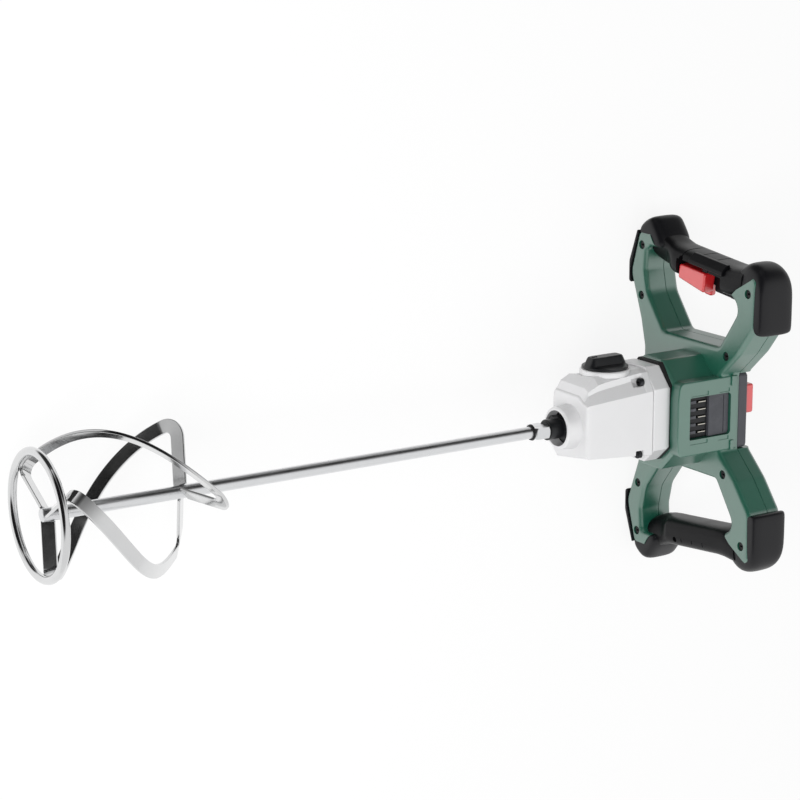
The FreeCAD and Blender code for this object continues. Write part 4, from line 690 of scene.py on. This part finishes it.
CONTACT_PITCH, CONTACTS = 7.7, 5
contact_reaches = [CONTACT_PITCH * (number - CONTACTS // 2) for number in range(CONTACTS)]
BED_HALF, BED_REAR, BED_TOP = 21.2, 706, BAY_FLOOR + 4
SLOT_HALF, SLOT_FRONT, SLOT_REAR, SLOT_FLOOR = 1.5, 692, 704, BAY_FLOOR + 1
CONTACT_HALF, CONTACT_FRONT, CONTACT_REAR, CONTACT_TOP = 0.6, 693.5, 703, BAY_FLOOR + 6
FIN_HALF, FIN_FRONT, FIN_REAR, FIN_LOW, FIN_TOP = 1.6, 683.5, 691.5, BAY_FLOOR + 2, BAY_FLOOR + 5.4
bed = block("terminal_bed", (-BED_HALF, BAY_FLOOR, RECESS_FRONT + RECESS_GAP),
            (BED_HALF, BED_TOP, BED_REAR), 0.4)
for reach in contact_reaches:
    carve(bed, block("slot", (reach - SLOT_HALF, SLOT_FLOOR, SLOT_FRONT),
                     (reach + SLOT_HALF, BED_TOP + OVERRUN, SLOT_REAR)))
dress(bed, "housing", "black_plastic", "terminal_block")
for number, reach in enumerate(contact_reaches, 1):
    contact = block(f"contact_{number}", (reach - CONTACT_HALF, SLOT_FLOOR, CONTACT_FRONT),
                    (reach + CONTACT_HALF, CONTACT_TOP, CONTACT_REAR), 0.3)
    dress(contact, "housing", "contact_metal", "terminal_blades")
    fin = block(f"terminal_fin_{number}", (reach - FIN_HALF, FIN_LOW, FIN_FRONT),
                (reach + FIN_HALF, FIN_TOP, FIN_REAR), 0.5)
    dress(fin, "housing", "grey_plastic")
SLIDE_FRONT, SLIDE_REAR, SLIDE_TOP, SLIDE_EDGE = 706.3, 731.7, side_of("bay_plate", 1), 0.6
LINE_HALF, LINE_FRONT, LINE_REAR, LINE_DEPTH = 19, 724.4, 725.6, 0.7
slide = plate("bay_slide", [[(SLIDE_FRONT, -BED_HALF, 0.5), (SLIDE_FRONT, BED_HALF, 0.5),
                             (SLIDE_REAR, BED_HALF, 3.5), (SLIDE_REAR, -BED_HALF, 3.5)]],
              BAY_FLOOR, SLIDE_TOP, SLIDE_EDGE, turn=TURN_TO_BAY)
carve(slide, block("slide_line", (-LINE_HALF, SLIDE_TOP - LINE_DEPTH, LINE_FRONT),
                   (LINE_HALF, SLIDE_TOP + 1, LINE_REAR)))
dress(slide, "housing", "grey_plastic", "bay_plate")

# Rear cover and its button

COVER_CORNER, COVER_EDGE = 5, 2
cover = plate("rear_cover_skin", [[(reach, side, COVER_CORNER) for reach, side in
                                   ((-COVER_REACH, -COVER_SIDE), (COVER_REACH, -COVER_SIDE),
                                    (COVER_REACH, COVER_SIDE), (-COVER_REACH, COVER_SIDE))]],
              SPLIT, COVER_REAR, COVER_EDGE)
dress(cover, "housing", "grey_plastic", "rear_cover")
BUTTON_PROUD, BUTTON_SUNK, BUTTON_EDGE = 3, 4, 2.4
button = block("rear_button_key", (-5, 26, COVER_REAR - BUTTON_SUNK),
               (25, 41, station_of("rear_button", 1) + BUTTON_PROUD), BUTTON_EDGE, 4)
dress(button, "rear_button", "red_plastic", "rear_button")

# Gear housing and its flange

BLOCK_FRONT = COLLAR_FRONT + 16


def block_ring(station, share, near, far, inset=0):
    """Outline of the block at a station: a share of its taper and the points of its upper corners from
    side to top, near and far; the front is drawn in for its rounded edge."""
    half, edge = 29 + 5 * share, 25 + 6.5 * share
    low, low_edge, low_flat = 35 + 6.5 * share, 28 + 5 * share, 22
    ring = [(-low, low_flat), (-low_edge, half), (edge, half)] + near
    ring += [(reach, -side) for reach, side in reversed(far)]
    ring += [(edge, -half), (-low_edge, -half), (-low, -low_flat)]
    ring = [Vector(spot) for spot in ring]
    return [(*(spot - spot.normalized() * inset), station) for spot in ring]


CUT_FRONT = [(26.2, 22.5), (27.5, 20.5), (29.2, 18), (32.5, 13)]
FULL_FRONT = [(28, 28.4), (31, 27.4), (33, 25), (33, 14)]
CHANNEL_START = [(27.5, 21.2), (33, 21), (37, 21), (40, 15)]
FULL_START = [(30, 29), (36, 28), (40.5, 25), (41, 14)]
CHANNEL_FRONT = [(28.6, 21.4), (36.5, 22.4), (43, 23.6), (49.5, 16)]
FULL_SHOULDER = [(34, 29.6), (41, 28), (46, 24.5), (50, 16)]
CHANNEL_MIDDLE = [(29.4, 21.6), (38, 22.8), (45, 24), (50.3, 16)]
CHANNEL_REAR = [(34.5, 23.6), (43.5, 24), (49.4, 24.4), (51.7, 16)]
PLAIN_REAR = [(36, 30.5), (42, 27.6), (49.2, 24), (51.8, 16)]
JOINT_HALF = 0.15
BLOCK_REAR = SEAM - JOINT_HALF
POCKET_REAR = SEAM - 8
# Rows of station, share of the taper, near and far corners, and inset
BLOCK_ROWS = ((BLOCK_FRONT, 0, CUT_FRONT, FULL_FRONT, 3.2),
              (BLOCK_FRONT + 0.5, 0, CUT_FRONT, FULL_FRONT, 1.6),
              (BLOCK_FRONT + 1.5, 0.02, CUT_FRONT, FULL_FRONT, 0.5),
              (BLOCK_FRONT + 2.5, 0.03, CUT_FRONT, FULL_FRONT),
              (BLOCK_FRONT + 7, 0.1, CHANNEL_START, FULL_START),
              (BLOCK_FRONT + 17, 0.22, CHANNEL_FRONT, FULL_SHOULDER),
              (BLOCK_FRONT + 25, 0.33, CHANNEL_MIDDLE, CHANNEL_MIDDLE),
              (POCKET_REAR, 0.9, CHANNEL_REAR, CHANNEL_REAR),
              (POCKET_REAR + 0.6, 0.91, PLAIN_REAR, PLAIN_REAR), (BLOCK_REAR, 1, PLAIN_REAR, PLAIN_REAR))
housing = loft("gear_housing_skin", [block_ring(*row) for row in BLOCK_ROWS])
soften(housing, 1, 3, 20)
COLLAR_ROOT = 23.2
collar = turned("collar", [(COLLAR_FRONT, 18.7), (COLLAR_FRONT + 0.4, 19.6), (COLLAR_FRONT + 1.8, 21),
                           (BLOCK_FRONT - 1.6, 21.8), (BLOCK_FRONT - 0.4, 22.2),
                           (BLOCK_FRONT + 0.4, COLLAR_ROOT), (BLOCK_FRONT + 8, COLLAR_ROOT)], 96)
unite(housing, collar)
KNOB = (station_of("selector_knob", 0) + station_of("selector_knob", 1)) / 2
BOSS_RADIUS, BOSS_LOW, BOSS_TOP, BOSS_EDGE = 25, 47, 53.5, 2


def round_outline(radius, count=12):
    """Corners whose arcs make a full circle about the knob."""
    reach = radius / math.cos(math.pi / count)
    turns = [math.tau * number / count for number in range(count)]
    return [(reach * math.cos(turn), KNOB + reach * math.sin(turn), radius) for turn in turns]


unite(housing, plate("boss", [round_outline(BOSS_RADIUS)], BOSS_LOW, BOSS_TOP, BOSS_EDGE, turn=TURN_TO_KNOB))
UPPER_SCREW_REACH, UPPER_SCREW_SIDE, HEAD_SPACE = 40.5, 26, 4.6
NOTCH_LOW, NOTCH_HIGH, NOTCH_INNER, NOTCH_OUTER = -37, -27, 23, 40
NOTCH_FRONT, NOTCH_REAR, NOTCH_EDGE = SEAM - 19.5, SEAM - 10.5, 0.8
for way in (-1, 1):
    carve(housing, turned("upper_head_space", [(POCKET_REAR - 12, HEAD_SPACE), (POCKET_REAR, HEAD_SPACE)], 32,
                          reach=UPPER_SCREW_REACH, side=UPPER_SCREW_SIDE * way))
    begin, end = sorted((NOTCH_INNER * way, NOTCH_OUTER * way))
    carve(housing, block("notch", (NOTCH_LOW, begin, NOTCH_FRONT), (NOTCH_HIGH, end, NOTCH_REAR), NOTCH_EDGE))
COLLAR_BORE, BORE_LIP = 17.5, 18.1
carve(housing, turned("bore", [(COLLAR_FRONT - 2, BORE_LIP), (COLLAR_FRONT + 1.2, COLLAR_BORE),
                               (BLOCK_FRONT + 10, COLLAR_BORE)], 96))
dress(housing, "housing", "cast_aluminium", "gear_housing")

# Spindle: a black nose with spanner flats in the collar, and the shaft behind it

NUT_REAR, SPINDLE_REAR = station_of("spindle", 0) - 5, station_of("spindle", 1)
NECK_RADIUS, NOSE_RADIUS, SHAFT_RADIUS = 8.6, 10.3, 7
FLATS_HALF, FLATS_RADIUS, FLATS_REACH = 9.5, 16.8, 20
spindle = turned("spindle_nose", [(NUT_REAR, NECK_RADIUS), (NUT_REAR + 1, NECK_RADIUS), (NUT_REAR + 1.4, 9.8),
                                  (NUT_REAR + 2, NOSE_RADIUS), (COLLAR_FRONT + 2, NOSE_RADIUS),
                                  (COLLAR_FRONT + 2.6, SHAFT_RADIUS), (SPINDLE_REAR, SHAFT_RADIUS)], 64)
flats = turned("flats", [(COLLAR_FRONT + 1.6, 16), (COLLAR_FRONT + 2.2, FLATS_RADIUS),
                         (BLOCK_FRONT, FLATS_RADIUS)], 64)
for low, high in ((FLATS_HALF, FLATS_REACH), (-FLATS_REACH, -FLATS_HALF)):
    carve(flats, block("flat", (low, -FLATS_REACH, COLLAR_FRONT), (high, FLATS_REACH, BLOCK_FRONT + 1)))
unite(spindle, flats)
dress(spindle, "spindle", "black_plastic", "spindle")


def socket_screw(name, reach, side, seat):
    """A cap screw with a hexagon socket, its head standing in front of its seat."""
    head = turned(name, [(seat - 5, 2.6), (seat - 4.8, 3.5), (seat - 4.2, 3.9), (seat, 3.9)], 32,
                  reach=reach, side=side)
    socket = turned("socket", [(seat - 7, 2.1), (seat - 2.4, 2.1)], 6, reach=reach, side=side)
    return carve(head, socket)


LOWER_SCREW_REACH, LOWER_SCREW_SIDE = -32, 28
HOUSING_SCREWS = ((UPPER_SCREW_REACH, UPPER_SCREW_SIDE, POCKET_REAR),
                  (UPPER_SCREW_REACH, -UPPER_SCREW_SIDE, POCKET_REAR),
                  (LOWER_SCREW_REACH, LOWER_SCREW_SIDE, NOTCH_REAR),
                  (LOWER_SCREW_REACH, -LOWER_SCREW_SIDE, NOTCH_REAR))
for number, spot in enumerate(HOUSING_SCREWS, 1):
    dress(socket_screw(f"housing_screw_{number}", *spot), "housing", "screw_steel", "gear_housing_screws")

FLANGE_FORM = (53, 43, 35.5, 18, 33, 20, 29)
DARK_GAP_FORM = (55.5, 45, 35, 17, 34.5, 18, 30)
DARK_GAP_REACH_SHARE, DARK_GAP_SIDE_SHARE = 0.985, 0.96


def flange_ring(station, inset=0):
    """Outline of the flange, drawn in for its rounded edges."""
    ring = octagon(station, *FLANGE_FORM)
    return [(*(Vector(spot[:2]) - Vector(spot[:2]).normalized() * inset), station) for spot in ring]


flange = loft("gear_cover_skin", [flange_ring(SEAM + JOINT_HALF, 0.8), flange_ring(SEAM + 0.9),
                                  flange_ring(FLANGE_REAR - 7), flange_ring(FLANGE_REAR - 4, 0.5),
                                  flange_ring(FLANGE_REAR - 1.8, 1.6), flange_ring(FLANGE_REAR, 4)])
soften(flange, 1, 3, 25)
dress(flange, "housing", "cast_aluminium", "gear_cover")
# A black ring recessed in the gap between flange and neck, so that the gap shows dark: a painted shadow in
# the gap, shaped as a seal.
dark_gap_ring = loft("neck_dark_gap_ring", [[(reach * DARK_GAP_REACH_SHARE, side * DARK_GAP_SIDE_SHARE, station)
                               for reach, side, station in octagon(place, *DARK_GAP_FORM)]
                              for place in (FLANGE_REAR - 2.5, NECK_FRONT + 3.2)])
soften(dark_gap_ring, 0.5, 2, 25)
dress(dark_gap_ring, "housing", "seal_rubber")

# Knob


def knob_ring(height, long, wide, power, count=72):
    """A ring of the knob at a height over the boss, from a circle to a rounded bar."""
    ring = []
    for number in range(count):
        turn = math.tau * number / count
        along, across = squared(math.cos(turn), power), squared(math.sin(turn), power)
        ring.append((BOSS_TOP + height, across * wide, KNOB + along * long))
    return ring


# Rows of height, half length, half width and how square the ring is
KNOB_ROWS = ((0.3, 22.4, 22.4, 2), (0.8, 23, 23, 2), (2.2, 23, 23, 2), (2.9, 22.6, 21.5, 2.1),
             (3.3, 22.2, 13, 2.6), (4.4, 21.8, 9.2, 4), (10.6, 18.6, 7, 6), (11.8, 17.8, 6.2, 6),
             (12.2, 16.8, 5.2, 6))
MARK_HALF, MARK_FRONT, MARK_REAR = 1.1, KNOB - 16, KNOB - 10
MARK_LOW, MARK_TOP = BOSS_TOP + 11, BOSS_TOP + 12.9
STEM_RADIUS, STEM_LOW, STEM_EDGE = 6, 36, 0.3
knob = loft("selector_handle", [knob_ring(*row) for row in KNOB_ROWS])
unite(knob, block("knob_mark", (MARK_LOW, -MARK_HALF, MARK_FRONT), (MARK_TOP, MARK_HALF, MARK_REAR), 0.4))
unite(knob, plate("stem", [round_outline(STEM_RADIUS)], STEM_LOW, BOSS_TOP + 1, STEM_EDGE, turn=TURN_TO_KNOB))
dress(knob, "knob", "black_plastic", "selector_knob")

# Stirrer

RING_RADIUS, RING_BAR = 56, 4
bpy.ops.mesh.primitive_torus_add(major_radius=RING_RADIUS, minor_radius=RING_BAR, major_segments=112,
                                 minor_segments=24, location=(0, 0, RING_BAR))
ring = bpy.context.object
ring.name = "stirrer_ring_bar"
apply_place(ring)

BLADE_START, BLADE_TURN = math.radians(-61.5), math.radians(152)
BLADE_LOW, BLADE_RISE, BLADE_RAKE = 12.5, 128.5, 13
BLADE_NARROW, BLADE_WIDE, SWELL_SHARE = 60, 65, 0.65
FRONT_BEND, REAR_BEND = 12, 16
BLADE_HALF, BLADE_THICK_HALF, BLADE_EDGE, BLADES = 6.5, 1.5, 0.7, 3
ROD_FRONT, ROD_RADIUS, BLADE_ROOT = 6, 6, 5.6
ARM_STEPS, BEND_STEPS, HELIX_STEPS = 6, 14, 64
QUARTER = math.pi / 2


def blade_marks(length):
    """Radius, run along the helix, rake, swing from radial to the helix, and twist, step by step."""
    front, rear, helix = [], [], []
    for step in range(ARM_STEPS):
        share = step / ARM_STEPS
        front.append((BLADE_ROOT + (BLADE_NARROW - FRONT_BEND - BLADE_ROOT) * share, 0, 0, 0))
        rear.append((BLADE_ROOT + (BLADE_WIDE - REAR_BEND - BLADE_ROOT) * share, length, 0, QUARTER))
    for step in range(BEND_STEPS + 1):
        swing = QUARTER * step / BEND_STEPS
        gone, inward = 1 - math.cos(swing), 1 - math.sin(swing)
        front.append((BLADE_NARROW - FRONT_BEND * inward, FRONT_BEND * gone, swing, 0))
        rear.append((BLADE_WIDE - REAR_BEND * inward, length - REAR_BEND * gone, swing, QUARTER))
    for step in range(1, HELIX_STEPS):
        share = step / HELIX_STEPS
        swollen = math.sin(QUARTER * min(1, share / SWELL_SHARE))
        helix.append((BLADE_NARROW + (BLADE_WIDE - BLADE_NARROW) * swollen,
                      FRONT_BEND + (length - FRONT_BEND - REAR_BEND) * share,
                      share ** 3 * BLADE_RAKE, QUARTER, QUARTER * share))
    front = [(radius, run, 0, swing, twist) for radius, run, swing, twist in front]
    rear = [(radius, run, BLADE_RAKE * (radius - BLADE_ROOT) / (BLADE_WIDE - BLADE_ROOT), swing, twist)
            for radius, run, swing, twist in rear]
    return front + helix + rear[::-1]


def blade_frames():
    """Spots with width and thickness directions along a flat bar, from the rod, round and back: flat on
    the cage in front, on edge at the rear."""
    around_length = BLADE_TURN * BLADE_NARROW
    slope, length = math.atan2(BLADE_RISE, around_length), math.hypot(BLADE_RISE, around_length)
    shaft = Vector((0, 0, 1))
    spots, widths = [], []
    for radius, run, raked, swing, twist in blade_marks(length):
        angle = BLADE_TURN * run / length
        out = Vector((math.cos(angle), math.sin(angle), 0))
        around = Vector((-math.sin(angle), math.cos(angle), 0))
        onward = around * math.cos(slope) + shaft * math.sin(slope)
        flat = shaft * math.cos(slope) - around * math.sin(slope)
        on_edge = out * math.sin(swing) + onward * math.cos(swing)
        spots.append(out * radius + shaft * (BLADE_LOW + BLADE_RISE * run / length + raked))
        widths.append(flat * math.cos(twist) - on_edge * math.sin(twist))
    headings = [spots[1] - spots[0]] + [after - before for before, after in zip(spots, spots[2:])] + [-out]
    frames = []
    for spot, heading, across in zip(spots, headings, widths):
        heading.normalize()
        width = (across - heading * across.dot(heading)).normalized()
        frames.append((spot, width, heading.cross(width)))
    return frames


blade = loft("stirrer_blade", [[spot + width * (BLADE_HALF * a) + thick * (BLADE_THICK_HALF * b)
                                for a, b in ((1, 1), (-1, 1), (-1, -1), (1, -1))]
                               for spot, width, thick in blade_frames()])
soften(blade, BLADE_EDGE, 3, 40)
for number in range(BLADES):
    twin = copy_of(blade, f"stirrer_blade_bar_{number + 1}")
    twin.rotation_euler.z = BLADE_START + math.tau * number / BLADES
    apply_place(twin)
    dress(twin, "spindle", "stirrer_steel", f"stirrer_blade_{number + 1}", angle=35)
bpy.data.objects.remove(blade)
dress(ring, "spindle", "stirrer_steel", "stirrer_ring")
COUPLING_FRONT = station_of("stirrer_coupling", 0)
COUPLING_REAR = NUT_REAR + 0.2
rod = turned("stirrer_rod_bar", [(ROD_FRONT, 4.6), (ROD_FRONT + 0.3, 5.3), (ROD_FRONT + 1, ROD_RADIUS),
                                 (COUPLING_FRONT + 15, ROD_RADIUS)], 48)
dress(rod, "spindle", "shaft_steel", "stirrer_rod")
NUT_CORNER, NUT_ROUND, NUT_EDGE = 11.2, 11.3, 0.35
hexagon = [(NUT_CORNER * math.cos(math.radians(60 * n)), NUT_CORNER * math.sin(math.radians(60 * n)))
           for n in range(6)]
coupling = loft("stirrer_coupling_nut", [[(reach, side, place) for reach, side in hexagon]
                                         for place in (COUPLING_FRONT, COUPLING_REAR)])
combine(coupling, [turned("chamfer", [(COUPLING_FRONT, 8.8), (COUPLING_FRONT + 1.2, 10.4),
                                      (COUPLING_FRONT + 2.4, NUT_ROUND), (COUPLING_REAR - 1.6, NUT_ROUND),
                                      (COUPLING_REAR, 9.8)])], "INTERSECT")
soften(coupling, NUT_EDGE, 2, 30)
dress(coupling, "spindle", "shaft_steel", "stirrer_coupling")
# A thin black ring at the front of the nut: painted shadow, standing in for the nut's front face in shade and
# its dark reflection.
shadow_ring = turned("nut_face_shadow_ring", [(COUPLING_FRONT - 1, 6.6), (COUPLING_FRONT - 0.8, 7.6),
                           (COUPLING_FRONT + 0.4, 8)], 48)
dress(shadow_ring, "spindle", "seal_rubber")

# Studio: a pale floor, soft light and the camera


def dark_sides(tree, vector, sides):
    """Darkness of a direction near any of the given ones, from a soft rim to a core."""
    darkness = 0
    for direction, rim, core in sides:
        facing = add_node(tree, "VectorMath", {0: vector, 1: direction}, operation="DOT_PRODUCT")
        side = add_node(tree, "MapRange", {"Value": facing.outputs["Value"], "From Min": rim,
                                           "From Max": core}, interpolation_type="SMOOTHSTEP")
        darkness = add_node(tree, "Math", {0: darkness, 1: side.outputs["Result"]},
                            operation="MAXIMUM").outputs["Value"]
    return darkness


FLOOR_SIZE = 12
PAPER_WHITE, PAPER_DARK = 0.85, 0.03
FLOOR_DARK_SIDES = (((0.05, -0.95, 0.3), 0.74, 0.88), ((0.85, -0.5, 0.12), 0.88, 1.08))
bpy.ops.mesh.primitive_plane_add(size=FLOOR_SIZE, location=(0, 0, 0))
floor = bpy.context.object
floor.name = "studio_floor"
paper = bpy.data.materials.new("studio_paper")
paper.use_nodes = True
tree = paper.node_tree
shader = tree.nodes["Principled BSDF"]
shader.inputs["Base Color"].default_value = (0.9, 0.9, 0.9, 1)
shader.inputs["Roughness"].default_value = 0.9
# To the camera and to glossy rays the floor glows white. Glossy rays from the given directions see it nearly
# black instead: a painted dark reflection in the tool's shiny faces, standing in for the floor shaded under
# the tool.
seen = add_node(tree, "LightPath")
white = add_node(tree, "Emission", {"Color": (1, 1, 1, 1), "Strength": 1})
ray = add_node(tree, "NewGeometry").outputs["Incoming"]
dark = dark_sides(tree, ray, FLOOR_DARK_SIDES)
painted_dark_mirror = add_node(tree, "Math", {0: dark, 1: seen.outputs["Is Glossy Ray"]}, operation="MULTIPLY")
glow = add_node(tree, "MapRange", {"Value": painted_dark_mirror.outputs["Value"], "To Min": 1, "To Max": PAPER_DARK})
tree.links.new(glow.outputs["Result"], white.inputs["Strength"])
looked_at = add_node(tree, "Math", {0: seen.outputs["Is Camera Ray"],
                                    1: seen.outputs["Is Glossy Ray"]}, operation="MAXIMUM")
share = add_node(tree, "MapRange", {"Value": looked_at.outputs["Value"], "To Max": PAPER_WHITE})
full = add_node(tree, "Math", {0: share.outputs["Result"], 1: painted_dark_mirror.outputs["Value"]},
                operation="MAXIMUM")
blend = add_node(tree, "MixShader", {"Fac": full.outputs["Value"], 1: shader.outputs["BSDF"],
                                     2: white.outputs["Emission"]})
tree.links.new(blend.outputs["Shader"], tree.nodes["Material Output"].inputs["Surface"])
floor.data.materials.append(paper)

# The room mirrors in shiny faces as a bright studio with two dark sides: one behind the camera, one beyond
# the upper handle
ROOM_LIGHT, ROOM_MIRROR, ROOM_DARK = 0.42, 0.9, 0.012
ROOM_DARK_SIDES = (((-0.75, 0.45, 0.48), 0.55, 0.76), ((0.42, 0.80, 0.42), 0.70, 0.97))
world = bpy.data.worlds.new("studio")
bpy.context.scene.world = world
world.use_nodes = True
tree = world.node_tree
seen = add_node(tree, "LightPath")
coords = add_node(tree, "TexCoord")
darkness = dark_sides(tree, coords.outputs["Generated"], ROOM_DARK_SIDES)
mirror = add_node(tree, "MapRange", {"Value": darkness, "To Min": ROOM_MIRROR, "To Max": ROOM_DARK})
strength = add_node(tree, "Mix", {"Factor": seen.outputs["Is Glossy Ray"], "A": ROOM_LIGHT,
                                  "B": mirror.outputs["Result"]}, data_type="FLOAT")
back = tree.nodes["Background"]
back.inputs["Color"].default_value = (1, 1, 1, 1)
tree.links.new(strength.outputs["Result"], back.inputs["Strength"])


def softbox(name, place, width, power):
    """A square lamp aimed at the tool, which shiny faces don't mirror."""
    light = bpy.data.lights.new(name, "AREA")
    light.shape = "SQUARE"
    light.size = width
    light.energy = power
    lamp = bpy.data.objects.new(name, light)
    bpy.context.scene.collection.objects.link(lamp)
    lamp.location = place
    lamp.visible_glossy = False
    lamp.rotation_euler = (LAMP_AIM - Vector(place)).to_track_quat("-Z", "Y").to_euler()


LAMP_AIM = Vector((0.2, 0, 0.1))
KEY_WATTS, FILL_WATTS = 32, 12
softbox("key_light", (-1.3, 0.1, 1.5), 1.2, KEY_WATTS)
softbox("fill_light", (0.5, -0.7, 2.0), 1.6, FILL_WATTS)

CAMERA_PLACE = (-1.1395, 0.567, 1.8945)
CAMERA_RIGHT = Vector((0.8459, 0, 0.5334))
CAMERA_UP = Vector((0.1260, 0.9717, -0.1999))
CAMERA_ROLL = math.radians(-0.34)
SENSOR_WIDTH, FOCAL_LENGTH = 36, 105.2
lens = bpy.data.cameras.new("camera")
lens.sensor_width = SENSOR_WIDTH
lens.lens = FOCAL_LENGTH
camera = bpy.data.objects.new("camera", lens)
bpy.context.scene.collection.objects.link(camera)
right = CAMERA_RIGHT * math.cos(CAMERA_ROLL) + CAMERA_UP * math.sin(CAMERA_ROLL)
up = CAMERA_UP * math.cos(CAMERA_ROLL) - CAMERA_RIGHT * math.sin(CAMERA_ROLL)
facing = Matrix((right, up, right.cross(up))).transposed().to_4x4()
camera.matrix_world = Matrix.Translation(CAMERA_PLACE) @ facing
bpy.context.scene.camera = camera
bpy.context.scene.view_settings.view_transform = "Standard"
